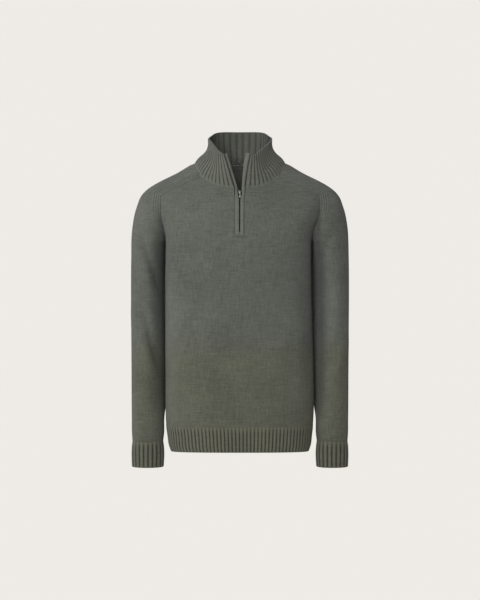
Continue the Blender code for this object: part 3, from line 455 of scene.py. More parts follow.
TONE_BELOW = (0.99, 0.96, 0.83)
# Painted shade along seams: the cloth is darker within this reach of a seam
SEAM_REACH = 0.0017
SEAM_SHADE = 0.88
FAR_FROM_SEAM = 0.05
SLIDER_GREY = (0.32, 0.325, 0.30)
# The teeth's metal: dark metal, made darker than the slider's as painted shade of the slit between
# the facings
TOOTH_SHADED_GREY = (0.045, 0.046, 0.042)


def smooth(table, column, place):
    """The value of a table's column at a place, on a curve that bends softly through its rows."""
    rows = np.array(table, float)
    places, values = rows[:, 0], rows[:, column]
    place = np.clip(place, places[0], places[-1])
    slopes = np.gradient(values, places)
    row = np.clip(np.searchsorted(places, place, side="right") - 1, 0, len(places) - 2)
    span = places[row + 1] - places[row]
    t = (place - places[row]) / span
    ends = values[row] * (1 + 2 * t) * (1 - t) ** 2 + values[row + 1] * (3 - 2 * t) * t**2
    return ends + span * (slopes[row] * t * (1 - t) ** 2 - slopes[row + 1] * (1 - t) * t**2)


def ease(share):
    share = np.clip(share, 0, 1)
    return share * share * (3 - 2 * share)


def unit(vectors):
    return vectors / np.maximum(np.linalg.norm(vectors, axis=-1, keepdims=True), 1e-12)


def run_along(points, axis):
    """How far each point of a grid is along its own row or column."""
    steps = np.linalg.norm(np.diff(points, axis=axis), axis=-1)
    start = np.zeros_like(np.take(steps, [0], axis=axis))
    return np.concatenate([start, np.cumsum(steps, axis=axis)], axis=axis)


def along(points, shares):
    """Points at the given shares of a line's length."""
    points = np.asarray(points)
    steps = np.linalg.norm(np.diff(points, axis=0), axis=1)
    run = np.concatenate([[0], np.cumsum(steps)])
    return np.stack([np.interp(np.asarray(shares) * run[-1], run, c) for c in points.T], axis=-1)


def bend(start, pull_start, pull_end, end, count=160):
    """A curve between two points that leaves and arrives by the given pulls."""
    t = np.linspace(0, 1, count)[:, None]
    first, last = start + pull_start, end + pull_end
    pulled = 3 * (1 - t) ** 2 * t * first + 3 * (1 - t) * t**2 * last
    return (1 - t) ** 3 * start + pulled + t**3 * end


def half_width(x, z):
    return np.where(x < 0, smooth(TORSO, HALF_RIGHT, z), smooth(TORSO, HALF_LEFT, z))


def torso_y(face, x, z):
    """The depth of the torso's front or back surface over a point of its outline."""
    depth = smooth(TORSO, DEPTH_FRONT if face == FRONT else DEPTH_BACK, z)
    fullness = smooth(TORSO, FULLNESS, z)
    across = np.clip(1 - (np.abs(x) / half_width(x, z)) ** fullness, 0, 1) ** (1 / fullness)
    fall = smooth(SHOULDER_FALL, 1 if face == FRONT else 2, np.abs(x))
    below = np.clip((smooth(RIDGE, 1, np.abs(x)) - z) / fall, 0, 1)
    return face * depth * across * np.sqrt(1 - (1 - below) ** 2)


def panel_edge(face, side, z):
    """Half the panel's width: to the side seam, and above the underarm to the armhole seam."""
    seam = smooth(ARMHOLE, ARMHOLE_COLUMN[face, side], z)
    return np.where(z > UNDERARM, seam, half_width(side, z))


def slot_edge(side, z):
    if side == RIGHT:
        return np.full_like(z, SLOT_RIGHT)
    flare = ease((z - SLOT_FLARE_FROM) / (NECK_FRONT - SLOT_FLARE_FROM))
    return SLOT_LEFT + SLOT_FLARE * flare


def panel_top(face, side):
    """Where each column of half a panel ends: along the neckline, then along the saddle seam."""
    neckline = NECKLINE_FRONT if face == FRONT else NECKLINE_BACK
    corner = NECK_CORNER[face]
    end_z = SHOULDER_END[face]
    end_x = panel_edge(face, side, np.array(end_z))
    start = slot_edge(side, np.array(NECK_FRONT))
    neck = np.linspace(start, corner, NECK_COLUMNS + 1)
    saddle = np.linspace(corner, end_x, SADDLE_COLUMNS + 1)[1:]
    corner_z = smooth(neckline, 1, corner)
    share = (saddle - corner) / (end_x - corner)
    x = np.concatenate([neck, saddle])
    z = np.concatenate([smooth(neckline, 1, neck), corner_z + (end_z - corner_z) * share])
    return x, z


def closing_in(count):
    """Shares from 0 to 1 whose steps grow shorter towards 1."""
    return 1 - (1 - np.linspace(0, 1, count + 1)) ** ROW_SPREAD


def panel_half(face, side):
    """Half a body panel, as rows from the hem up and columns from the middle out."""
    top_x, top_z = panel_top(face, side)
    underarm = (UNDERARM - HEM_TOP) / (SHOULDER_END[face] - HEM_TOP)
    lower = underarm * closing_in(SIDE_ROWS)
    rise = (np.arange(1, ARMHOLE_ROWS + 1) / ARMHOLE_ROWS) ** ARMHOLE_SPREAD
    share = np.concatenate([lower, underarm + (1 - underarm) * rise])[:, None]
    z = HEM_TOP + share * (top_z - HEM_TOP)
    count = NECK_COLUMNS + SADDLE_COLUMNS
    low = np.sin(np.pi / 2 * np.arange(count + 1) / count)
    high = (top_x - top_x[0]) / (top_x[-1] - top_x[0])
    part = low + (high - low) * ease((share - underarm) / (1 - underarm))
    inner = slot_edge(side, z)
    x = side * (inner + part * (panel_edge(face, side, z) - inner))
    return np.stack([x, torso_y(face, x, z), z], axis=-1)


def panel_face(face):
    """The whole panel, from the wearer's right to left."""
    return np.concatenate([panel_half(face, RIGHT)[:, ::-1], panel_half(face, LEFT)], axis=1)


def normals(points, closed_rows=0):
    """Unit normals of a grid; its first rows may be rings whose ends meet."""
    across = np.gradient(points, axis=1)
    along_rows = np.gradient(points, axis=0)
    if closed_rows:
        seam = (points[:closed_rows, 1] - points[:closed_rows, -2]) / 2
        across[:closed_rows, 0] = seam
        across[:closed_rows, -1] = seam
        along_rows[:closed_rows] = np.gradient(points[:closed_rows], axis=0)
    return unit(np.cross(across, along_rows))


def drawn_in(points, sides, gap=SEAM_GAP / 2):
    """The grid with the named sides moved in by half a seam's gap."""
    points = points.copy()
    if "bottom" in sides:
        points[0] += gap * unit(points[1] - points[0])
    if "top" in sides:
        points[-1] += gap * unit(points[-2] - points[-1])
    if "start" in sides:
        points[:, 0] += gap * unit(points[:, 1] - points[:, 0])
    if "end" in sides:
        points[:, -1] += gap * unit(points[:, -2] - points[:, -1])
    return points


def place_object(name, mesh, finish):
    data = bpy.data.meshes.new(name)
    mesh.to_mesh(data)
    mesh.free()
    data.materials.append(finish)
    data.shade_smooth()
    data.set_sharp_from_angle(angle=SHARP_EDGE)
    made = bpy.data.objects.new(name, data)
    bpy.context.scene.collection.objects.link(made)
    return made


def dress(piece, node, body="body"):
    """Puts a piece in the place of its node."""
    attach(piece, body)
    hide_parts(node)


def grid_mesh(points, cloth, edge, groove_shade=0.0):
    """A bmesh grid on the points, with its place on the flat cloth, its seams and the painted shade
    of its grooves.
    """
    rows, columns = points.shape[:2]
    mesh = bmesh.new()
    bmesh.ops.create_grid(mesh, x_segments=columns - 1, y_segments=rows - 1, size=1)
    place = mesh.verts.layers.int.new("place")
    seam = mesh.verts.layers.float.new("seam")
    # This layer holds painted shade: how much darker the cloth is painted in grooves, creases and
    # hollows
    deep = mesh.verts.layers.float.new("groove_shade")
    flat = mesh.loops.layers.uv.new("cloth")
    flat_points, flat_cloth = points.reshape(-1, 3), cloth.reshape(-1, 2)
    flat_edge = edge.reshape(-1)
    flat_groove = np.broadcast_to(groove_shade, (rows, columns)).reshape(-1)
    for index, point in enumerate(mesh.verts):
        point[place] = index
        point[seam] = flat_edge[index]
        point[deep] = flat_groove[index]
        point.co = flat_points[index]
    for face in mesh.faces:
        for corner in face.loops:
            corner[flat].uv = flat_cloth[corner.vert[place]]
    return mesh, place


def wall(name, outside, inside, cloth, edge, finish, missing=None, groove_shades=(0.0, 0.0)):
    """A cloth wall: a grid on the outside points, thickened to the inside points, with painted
    shade on its outside and its inside.
    """
    mesh, place = grid_mesh(outside, cloth, edge, groove_shades[0])
    deep = mesh.verts.layers.float["groove_shade"]
    inside_shade = np.broadcast_to(groove_shades[1], outside.shape[:2]).reshape(-1)
    columns = outside.shape[1]
    if missing:
        faces = [f for i, f in enumerate(mesh.faces) if missing(*divmod(i, columns - 1))]
        bmesh.ops.delete(mesh, geom=faces, context="FACES")
    bmesh.ops.remove_doubles(mesh, verts=mesh.verts, dist=MERGE)
    lining = bmesh.ops.extrude_face_region(mesh, geom=mesh.faces[:], use_keep_orig=True)
    inside = inside.reshape(-1, 3)
    for part in lining["geom"]:
        if isinstance(part, bmesh.types.BMVert):
            part.co = inside[part[place]]
            part[deep] = inside_shade[part[place]]
    bmesh.ops.recalc_face_normals(mesh, faces=mesh.faces)
    return place_object(name, mesh, finish)


def rod(name, rings, finish, groove_shade=0.0):
    """A solid strip through rings of points, closed at both ends."""
    rings = np.concatenate([rings, rings[:, :1]], axis=1)
    cloth = np.stack([run_along(rings, 1), run_along(rings, 0)], axis=-1)
    cloth[..., 1] = cloth[:, :1, 1]
    mesh, _ = grid_mesh(rings, cloth, np.full(rings.shape[:2], FAR_FROM_SEAM), groove_shade)
    bmesh.ops.remove_doubles(mesh, verts=mesh.verts, dist=MERGE)
    bmesh.ops.holes_fill(mesh, edges=mesh.edges)
    bmesh.ops.recalc_face_normals(mesh, faces=mesh.faces)
    return place_object(name, mesh, finish)


def beside(line, place):
    """How far each point is from a fold's line, and how much of the fold is there."""
    start, run = np.array(line[:2]), np.array(line[2:]) - np.array(line[:2])
    share = (place - start) @ run / (run @ run)
    away = (place - start) @ np.array([run[1], -run[0]]) / np.linalg.norm(run)
    begun = ease((share + FOLD_FADE) / (2 * FOLD_FADE))
    unended = ease((1 + FOLD_FADE - share) / (2 * FOLD_FADE))
    return away, begun * unended


def body_swell(face, points):
    """How far the body's soft folds stand out at each point of a panel, faded out at its sides."""
    place = points[..., (0, 2)]
    swell = np.zeros(points.shape[:2])
    for fold_face, *line, half, proud in BODY_FOLDS:
        if fold_face != face:
            continue
        away, ends = beside(line, place)
        swell += proud * np.exp(-((away / half) ** 2)) * ends
    side = half_width(points[..., 0], points[..., 2]) - np.abs(points[..., 0])
    return swell * ease(side / BODY_FADE) * ease((points[..., 2] - HEM_TOP) / BODY_FADE)


def body_panels(finish):
    slot_column = NECK_COLUMNS + SADDLE_COLUMNS

    def in_slot(row, column):
        return column == slot_column and row >= SIDE_ROWS

    for name, face, missing in (("front", FRONT, in_slot), ("back", BACK, None)):
        points = panel_face(face)
        outward = -face * normals(points)
        points = points + body_swell(face, points)[..., None] * outward
        sides = ("bottom", "top", "start", "end")
        across = run_along(points, 1)
        beside_middle = across - across[:, slot_column : slot_column + 1]
        cloth = np.stack([beside_middle, points[..., 2]], axis=-1)
        edge = np.minimum(np.minimum(across, across[:, -1:] - across), points[..., 2] - HEM_TOP)
        up = run_along(points, 0)
        edge = np.minimum(edge, up[-1:] - up)
        if face == FRONT:
            x, z = points[..., 0], points[..., 2]
            beside = np.where(x < 0, -x - slot_edge(RIGHT, z), x - slot_edge(LEFT, z))
            beside = np.hypot(np.maximum(beside, 0), np.maximum(SLOT_BOTTOM - z, 0))
            edge = np.minimum(edge, beside)
        inside = drawn_in(points - KNIT * outward, sides)
        outside = drawn_in(points, sides)
        dress(wall(name + "_knit", outside, inside, cloth, edge, finish, missing), name)


def spaced(line, share=0.0):
    """A row's columns: at even shares on the arm, and at the raised lines' pitch above it."""
    length = run_along(line, 0)[-1]
    step = RIDGE_SHARE + (RIDGE_PITCH / 2 / length - RIDGE_SHARE) * ease(share / PITCH_FADE)
    edge = np.arange(2 * RIDGES * RIDGE_STEPS + 1) * step / RIDGE_STEPS
    crown = np.linspace(edge[-1], 1 - edge[-1], CROWN_COLUMNS + 1)
    return along(line, np.concatenate([edge, crown[1:-1], 1 - edge[::-1]]))


def ring(table, side, z, count=200):
    """A closed section of a sleeve or cuff, from its inner side round the front and back."""
    inner = smooth(table, INNER_RIGHT if side == RIGHT else INNER_LEFT, z)
    lean = smooth(table, LEAN_RIGHT if side == RIGHT else LEAN_LEFT, z)
    middle, half_depth = smooth(table, MIDDLE, z), smooth(table, HALF_DEPTH, z)
    behind = smooth(table, INNER_DEPTH, z) - middle
    start = np.array([side * inner, middle + behind, z])
    crest = np.array([side * smooth(table, OUTER, z), middle, z])
    skew = smooth(table, SKEW, z)
    forward = (half_depth * 2 + behind) * BOW
    reach = np.array([0, half_depth * BOW, 0])
    to_back = np.array([0, (half_depth - behind) * BOW, 0])
    from_start = np.array([side * lean, -forward * skew, 0])
    to_crest = np.array([0, -forward * (1 - skew), 0])
    front = bend(start, from_start, to_crest, crest, count)
    back = bend(crest, reach, to_back, start, count)
    return np.concatenate([front, back[1:]])


def arch(side, share, front_point, back_point, crest):
    """A row of a sleeve above the underarm, from the front seam over the crest to the back."""
    out = side * smooth(SLEEVE_ROWS, OUTWARD, share)
    up = smooth(SLEEVE_ROWS, UPWARD, share)
    crown = smooth(SLEEVE_ROWS, CROWN, share)
    away = (smooth(SLEEVE_ROWS, HALF_WAY, share) + front_point[1] / 2) * 2 * BOW - crown
    over = np.array([0, crown, 0])
    front = bend(front_point, np.array([out, -away, up]), -over, crest)
    back = bend(crest, over, np.array([out, away, up]), back_point)
    return np.concatenate([front, back[1:]])


def cap_side(side, seam, crest, count=160):
    """From the armhole seam to the crest along the tube that hangs below the underarm."""
    face = FRONT if seam[1] < 0 else BACK
    inner = side * smooth(SLEEVE, INNER_RIGHT if side == RIGHT else INNER_LEFT, UNDERARM)
    reach = np.array([0, face * smooth(SLEEVE, HALF_DEPTH, UNDERARM) * 2 * BOW, 0])
    skew = smooth(SLEEVE, SKEW, UNDERARM) if face == FRONT else 0.5
    start, end = np.array([inner, 0, 0]), np.array([crest[0], 0, 0])
    whole = bend(start, reach * skew, reach * (1 - skew), end, count)
    near = count // 2
    first = np.interp(abs(seam[1]), np.abs(whole[:near, 1]), np.arange(near))
    place = first + (count - 1 - first) * np.linspace(0, 1, count)
    line = np.stack([np.interp(place, np.arange(count), axis) for axis in whole.T], axis=-1)
    fade = (1 - np.linspace(0, 1, count)) ** 3
    line[:, :2] += fade[:, None] * (seam - line[0])[:2]
    line[:, 2] = seam[2] + (crest[2] - seam[2]) * np.sin(np.linspace(0, np.pi / 2, count))
    return line


def cap_row(side, share, front_point, back_point, crest):
    """A row of the sleeve's cap, which turns from the tube's section into the saddle's arch."""
    front, back = cap_side(side, front_point, crest), cap_side(side, back_point, crest)
    tube = np.concatenate([front, back[-2::-1]])
    mix = ease(share)
    return tube * (1 - mix) + arch(side, share, front_point, back_point, crest) * mix


def folded(side, points, outward):
    """The sleeve's points with its folds pressed in."""
    place = points[..., (0, 2)] * (side, 1)
    depth = np.zeros(points.shape[:2])
    for fold_side, face, *line, half, deep, swell in FOLDS:
        if fold_side != side:
            continue
        inwards, ends = beside(line, place)
        trough = deep * np.exp(-((inwards / half) ** 2))
        raised = swell * np.exp(-((inwards / half + SWELL_PLACE) ** 2))
        facing = np.clip(face * outward[..., 1] * 2, 0, 1)
        depth += (trough - raised) * facing * ends
    return points - depth[..., None] * outward


def crest_line(side, count=240):
    """The sleeve's outline from the neck to the underarm, as a soft curve through its points."""
    points = np.array(CREST)
    run = np.concatenate([[0], np.cumsum(np.linalg.norm(np.diff(points, axis=0), axis=1))])
    table = np.column_stack([run, points])
    place = np.linspace(0, run[-1], count)
    return np.stack([side * smooth(table, 1, place), 0 * place, smooth(table, 2, place)], axis=-1)


def sleeve_face(side):
    """Rows from the cuff up to the underarm, along the armhole, and over the saddle to the neck."""
    front, back = panel_half(FRONT, side), panel_half(BACK, side)
    over = crest_line(side)
    levels = CUFF_TOP + (UNDERARM - CUFF_TOP) * closing_in(SLEEVE_RING_ROWS)
    rows = [spaced(ring(SLEEVE, side, z)) for z in levels]
    for step in range(1, ARMHOLE_ROWS + 1):
        share = step / ARMHOLE_ROWS
        crest = along(over, [1 - share * (1 - SHOULDER_SHARE)])[0]
        ends = front[SIDE_ROWS + step, -1], back[SIDE_ROWS + step, -1]
        rows.append(spaced(cap_row(side, share, *ends, crest), share))
    for step in range(1, SADDLE_COLUMNS + 1):
        share = step / SADDLE_COLUMNS
        crest = along(over, [SHOULDER_SHARE * (1 - share)])[0]
        ends = front[-1, -1 - step], back[-1, -1 - step]
        rows.append(spaced(arch(side, 1 + share, *ends, crest), 1 + share))
    return np.array(rows)


def seam_normals(side, own):
    """The sleeve's normals, which turn at its seams into those of the panels it meets."""
    own = own.copy()
    for face, column in ((FRONT, 0), (BACK, -1)):
        outward = -face * side * normals(panel_half(face, side))
        seam = [outward[SIDE_ROWS + step, -1] for step in range(1, ARMHOLE_ROWS + 1)]
        seam += [outward[-1, -1 - step] for step in range(1, SADDLE_COLUMNS + 1)]
        for row, normal in enumerate(seam, SLEEVE_RING_ROWS + 1):
            alike = ease((own[row, column] @ normal - TURN_FROM) / TURN_OVER)
            own[row, column] = unit(own[row, column] * (1 - alike) + normal * alike)
    return own


def sleeves(finish):
    for name, side in (("sleeve_right", RIGHT), ("sleeve_left", LEFT)):
        even = sleeve_face(side)
        outward = seam_normals(side, side * normals(even, SLEEVE_RING_ROWS + 1))
        plain = folded(side, even, outward)
        column = np.arange(plain.shape[1])
        near = np.minimum(column, column[::-1]) / RIDGE_STEPS
        line = np.where(near < 2 * RIDGES, 0.5 - 0.5 * np.cos(np.pi * near), 0)
        above = (np.arange(len(plain)) - SLEEVE_RING_ROWS) / ARMHOLE_ROWS
        strength = ease((above - RIDGE_START) / RIDGE_FADE)[:, None]
        raised = RIDGE_RAISE * strength * line[None, :]
        # Painted shading of the raised lines: shade in their grooves and a painted highlight on
        # their crests
        painted_shading = strength * np.where(near < 2 * RIDGES, 0.5 - line, 0)[None, :]
        outside = plain + raised[..., None] * outward
        inside = plain - KNIT * outward
        across = run_along(even, 1)
        middle = len(column) // 2
        up = run_along(even, 0)[:, middle : middle + 1]
        cloth = np.stack(np.broadcast_arrays(across - across[:, middle : middle + 1], up), axis=-1)
        edge = np.minimum(across, across[:, -1:] - across)
        edge = np.minimum(edge, np.minimum(up, up[-1] - up))
        closed = slice(0, SLEEVE_RING_ROWS + 1)
        grids = []
        for grid in (outside, inside):
            drawn = drawn_in(grid, ("start", "end", "bottom", "top"))
            drawn[closed, 0] = grid[closed, 0]
            drawn[closed, -1] = grid[closed, 0]
            grids.append(drawn)
        piece = wall(name + "_knit", *grids, cloth, edge, finish, groove_shades=(painted_shading, 0.0))
        dress(piece, name)


def even_ring(points, count):
    return along(points, np.linspace(0, 1, count + 1))


def rib_profile(steps, shift=0.0):
    """Round ribs with narrow grooves, at each of a number of steps."""
    turn = np.pi * (np.arange(steps) / RIB_STEPS + shift)
    return np.abs(np.sin(turn)) ** RIB_ROUND


def band_levels():
    """Rows of a band from its seam to its edge, close together where the edge is rounded."""
    return np.concatenate([np.linspace(0, BAND_EVEN, BAND_ROWS), BAND_END])


def rounded_edge(share, length):
    """How far each row of a rib knit turns in, so that its free edge is round."""
    near = np.clip(1 - (1 - share) * length / (RIB_KNIT / 2), 0, 1)
    return RIB_KNIT / 2 * (1 - np.sqrt(1 - near**2))[:, None]


def ribbed_band(name, sections, share, length, raise_by, pitch, finish):
    """A tube whose outside is raised in ribs, with painted shade in the grooves between them, and
    whose free edge is rounded.
    """
    outward = normals(sections, len(sections))
    outward *= np.sign(np.sum((sections[0] - sections[0].mean(axis=0)) * outward[0]))
    height = raise_by * (RIB_START + (1 - RIB_START) * ease(share / RIB_RISE))[:, None]
    profile = rib_profile(sections.shape[1])[None, :]
    turned_in = rounded_edge(share, length)
    outside = sections + (height * profile - turned_in)[..., None] * outward
    inside = sections + (turned_in - RIB_KNIT)[..., None] * outward
    inside[..., 2] = sections[..., 2]
    outside[..., 2] = sections[..., 2]
    for grid in (outside, inside):
        grid[:, -1] = grid[:, 0]
    across = np.arange(sections.shape[1]) / RIB_STEPS * pitch
    cloth = np.stack(np.broadcast_arrays(across, sections[..., 2]), axis=-1)
    edge = np.broadcast_to((share * length)[:, None], sections.shape[:2])
    # Painted shade in the grooves between the ribs
    painted_shading = height / raise_by * (1 - profile)
    piece = wall(name + "_rib", outside, inside, cloth, edge, finish, groove_shades=(painted_shading, 0.0))
    dress(piece, name)


def torso_ring(z, count=480):
    turn = np.linspace(-np.pi / 2, np.pi / 2, count)
    level = np.full(count, z)
    x = np.sin(turn) * half_width(np.sin(turn), level)
    front, back = (np.stack([x, torso_y(face, x, level), level], axis=-1) for face in (FRONT, BACK))
    return np.concatenate([front, back[-2::-1]])


def dipped(sections, share):
    """The hem's sections, whose lower edge dips a little towards the sides."""
    depth = np.abs(sections[..., 1])
    dip = share[:, None] * (1 - depth / depth.max(axis=1, keepdims=True))
    lower = sections.copy()
    lower[..., 2] -= HEM_SIDE_DROP * dip
    return lower


def hem(finish):
    share = band_levels()
    levels = HEM_TOP + share * (HEM_BOTTOM - HEM_TOP)
    rings = [even_ring(torso_ring(z), RIB_STEPS * HEM_RIBS) for z in levels]
    sections = dipped(np.array(rings), share)
    ribbed_band("hem", sections, share, HEM_TOP - HEM_BOTTOM, HEM_RAISE, HEM_PITCH, finish)


def cuffs(finish):
    share = band_levels()
    levels = CUFF_TOP + share * (CUFF_BOTTOM - CUFF_TOP)
    length = CUFF_TOP - CUFF_BOTTOM
    for name, side in (("cuff_right", RIGHT), ("cuff_left", LEFT)):
        rings = [even_ring(ring(CUFF, side, z), RIB_STEPS * CUFF_RIBS) for z in levels]
        ribbed_band(name, np.array(rings), share, length, CUFF_RAISE, CUFF_PITCH, finish)


def neckline(side):
    """Half the neckline, from the zip along the front, over the saddle's end, to the back."""
    front, back = panel_half(FRONT, side), panel_half(BACK, side)
    over = sleeve_face(side)[-1]
    middle = (back[-1, :1] + panel_half(BACK, -side)[-1, :1]) / 2
    front_run = front[-1, : NECK_COLUMNS + 1]
    back_run = back[-1, NECK_COLUMNS::-1]
    crown = len(over) // 2
    to_side = np.concatenate([front_run, over[1 : crown + 1]])
    to_back = np.concatenate([over[crown:-1], back_run, middle])
    return to_side, to_back


def collar_half(side):
    """Base, rim and columns of half the collar, from its front edge to the middle of the back."""
    to_side, to_back = neckline(side)
    front_shares = np.linspace(0, 1, RIB_STEPS * FRONT_RIBS + 1)
    back_shares = np.linspace(0, 1, RIB_STEPS * BACK_RIBS + 1)
    base = np.concatenate([along(to_side, front_shares), along(to_back, back_shares)[1:]])
    table = RIM_RIGHT if side == RIGHT else RIM_LEFT
    share = np.concatenate([front_shares / 2, 0.5 + back_shares[1:] / 2])
    rim_x = side * smooth(table, 1, share)
    return base, np.stack([rim_x, smooth(table, 2, share), smooth(table, 3, share)], axis=-1)


def collar_levels():
    return np.concatenate([np.linspace(0, COLLAR_EVEN, COLLAR_ROWS), COLLAR_END])


def collar_face():
    """Rows from the neckline to the rim, columns from the right front edge round to the left."""
    halves = []
    for side in (RIGHT, LEFT):
        base, rim = collar_half(side)
        count = len(base)
        up = collar_levels()[:, None]
        flared = 1 - smooth(COLLAR_RISE, 1, up)
        straight = up ** FRONT_EDGE_BOW[side]
        from_edge = ease(np.arange(count) / (FRONT_RIBS * RIB_STEPS / 2))[None, :]
        inward = straight + (flared - straight) * from_edge
        shares = np.stack([inward, inward, np.broadcast_to(up, inward.shape)], axis=-1)
        halves.append(base + (rim - base) * shares)
    return np.concatenate([halves[0], halves[1][:, -2::-1]], axis=1)


def collar(plain, finish):
    """The ribbed collar, raised in ribs on both sides and rounded at its rim, with painted shade in
    its grooves and over its inside, deepest towards its sides.
    """
    outward = normals(plain)
    outward *= np.sign(outward[3, 0] @ np.array([0, -1, 0]))
    share = collar_levels()
    length = np.linalg.norm(np.diff(plain[:, 0], axis=0), axis=1).sum()
    turned_in = rounded_edge(share, length)
    height = COLLAR_RAISE * ease(share / COLLAR_RIB_START)[:, None]
    profile = rib_profile(plain.shape[1])[None, :]
    lining = rib_profile(plain.shape[1], 0.5)[None, :]
    outside = plain + (height * profile - turned_in)[..., None] * outward
    inside = plain + (turned_in - RIB_KNIT - height * lining)[..., None] * outward
    across = np.arange(plain.shape[1]) / RIB_STEPS * COLLAR_PITCH
    up = run_along(plain, 0)
    cloth = np.stack(np.broadcast_arrays(across, up), axis=-1)
    sides = ("start", "end", "bottom")
    strength = height / COLLAR_RAISE
    half = np.linspace(0, 1, FRONT_RIBS * RIB_STEPS + BACK_RIBS * RIB_STEPS + 1)
    half = np.concatenate([half, half[-2::-1]])
    # Painted shadow over the collar's inside, deepest at its sides
    shadow = LINING_PAINTED_SHADE + SIDE_PAINTED_SHADE * np.exp(-(((half - SIDE_SHADE_PLACE) / SIDE_SHADE_SPREAD) ** 2))
    inside_shade = shadow[None, :] + LINING_GROOVE_SHADE * strength * (1 - lining)
    groove_shades = COLLAR_GROOVE_SHADE * strength * (1 - profile), np.clip(inside_shade, 0, LINING_SHADE_DARKEST)
    grids = drawn_in(outside, sides), drawn_in(inside, sides)
    piece = wall("collar_rib", *grids, cloth, up, finish, groove_shades=groove_shades)
    dress(piece, "collar")


def opening_edge(side, z, grid):
    """The edge of the slot at a height, and above the neckline that of the collar."""
    edge = grid[:, 0] if side == RIGHT else grid[:, -1]
    if z <= edge[0, 2]:
        x = side * slot_edge(side, np.array(z))
        return np.array([x, torso_y(FRONT, x, np.array(z)), z])
    run = (edge[-1] - edge[-2]) / (edge[-1, 2] - edge[-2, 2])
    if z > edge[-1, 2]:
        return edge[-1] + run * (z - edge[-1, 2])
    return np.array([np.interp(z, edge[:, 2], edge[:, axis]) for axis in (0, 1)] + [z])


def strip_rows(side, table, grid):
    """Outer and inner edges and the outward direction of a strip beside the zip."""
    heights = np.linspace(table[0][0], table[-1][0], WELT_ROWS)
    places = np.array(table)[:, 0]
    edge_x = np.interp(heights, places, np.array(table)[:, 1])
    back = np.interp(heights, places, np.array(table)[:, 2])
    outer = np.array([opening_edge(side, z, grid) for z in heights])
    inner = np.stack([edge_x, outer[:, 1] + back, heights], axis=-1)
    outer = outer + (WELT_GAP + WELT_TURN_GAP * back)[:, None] * unit(inner - outer)
    run = np.gradient((outer + inner) / 2, axis=0)
    outward = unit(np.cross(run, inner - outer))
    return outer, inner, outward * np.sign(-outward[:, 1:2])


def rounded_oblong(sides, corner):
    """The width's share, from the outer edge, and the depth, from -1 to 1, round a section."""
    turn = np.arange(sides) * 2 * np.pi / sides
    wide, deep = (np.sign(wave) * np.abs(wave) ** corner for wave in (np.cos(turn), np.sin(turn)))
    return (1 - wide) / 2, deep


def welts(grid, finish):
    for name, side, table in (("welt_right", RIGHT, WELT_RIGHT), ("welt_left", LEFT, WELT_LEFT)):
        outer, inner, outward = strip_rows(side, table, grid)
        wide, deep = rounded_oblong(WELT_SIDES, WELT_ROUND)
        deep = deep * WELT_THICK / 2 + WELT_PROUD - WELT_THICK / 2
        rings = outer[:, None] + (inner - outer)[:, None] * wide[None, :, None]
        # Painted shade along the facing's outer edge
        painted_shading = WELT_EDGE_SHADE * np.clip(1 - WELT_CREASE * wide, 0, 1)
        painted_shading = np.append(painted_shading, painted_shading[0])[None, :]
        piece = rod(name + "_rib", rings + outward[:, None] * deep[None, :, None], finish, painted_shading)
        dress(piece, name)


def tapes(grid, finish):
    """The zip's woven tapes under the facings; gives back their inner edges for the teeth."""
    made = {}
    for name, side, table in (("tape_right", RIGHT, WELT_RIGHT), ("tape_left", LEFT, WELT_LEFT)):
        table = [row for row in table if row[0] <= table[-2][0]]
        outer, inner, outward = strip_rows(side, table, grid)
        across = unit(inner - outer)
        shut = inner[:, 2] < SLIT_BOTTOM
        inner = inner + across * np.where(shut, 0.0, TAPE_SHOWS)[:, None]
        outer = outer + across * TAPE_INSET
        wide, deep = rounded_oblong(TAPE_SIDES, TAPE_ROUND)
        deep = TAPE_DEEP + (1 - deep) * TAPE_THICK / 2
        rings = outer[:, None] + (inner - outer)[:, None] * wide[None, :, None]
        piece = rod(name + "_woven", rings - outward[:, None] * deep[None, :, None], finish)
        dress(piece, name)
        made[name] = inner, across, outward
    return made


def bevelled(mesh, edges, offset, segments):
    bmesh.ops.bevel(
        mesh, geom=edges, offset=offset, segments=segments, profile=0.5, affect="EDGES", material=-1
    )


def zip_teeth(edges, finish):
    """Teeth clasped on both tapes' edges: meshed below the slider, apart above it."""
    tooth = bmesh.new()
    bmesh.ops.create_cube(tooth, size=1)
    bmesh.ops.scale(tooth, vec=TOOTH_SIZE, verts=tooth.verts)
    head = [point for point in tooth.verts if point.co.x > 0]
    bmesh.ops.scale(tooth, vec=TOOTH_HEAD, verts=head)
    bevelled(tooth, tooth.edges[:], TOOTH_BEVEL, 1)
    shape = bpy.data.meshes.new("tooth")
    tooth.to_mesh(shape)
    tooth.free()
    deep = TAPE_DEEP + TAPE_THICK / 2
    for name, shift in (("tape_right", 0.0), ("tape_left", TOOTH_PITCH / 2)):
        inner, across, outward = edges[name]
        mesh = bmesh.new()
        heights = np.arange(TEETH_BOTTOM + shift, TEETH_TOP, TOOTH_PITCH)
        for z in heights:
            if abs(z - SLIDER_HEIGHT) < SLIDER_REACH:
                continue
            at, over, out = (
                np.array([np.interp(z, inner[:, 2], grid[:, axis]) for axis in range(3)])
                for grid in (inner, across, outward)
            )
            over, out = unit(over), unit(out)
            up = np.cross(over, out)
            middle = at + over * (TOOTH_OVER_EDGE - TOOTH_SIZE[0] / 2) - out * deep
            place = Matrix.Identity(4)
            for column, axis in enumerate((over, out, up, middle)):
                for row in range(3):
                    place[row][column] = axis[row]
            before = len(mesh.verts)
            mesh.from_mesh(shape)
            mesh.verts.ensure_lookup_table()
            bmesh.ops.transform(mesh, matrix=place, verts=mesh.verts[before:])
        bmesh.ops.recalc_face_normals(mesh, faces=mesh.faces)
        piece = place_object(name.replace("tape", "teeth"), mesh, finish)
        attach(piece, "body")
    bpy.data.meshes.remove(shape)


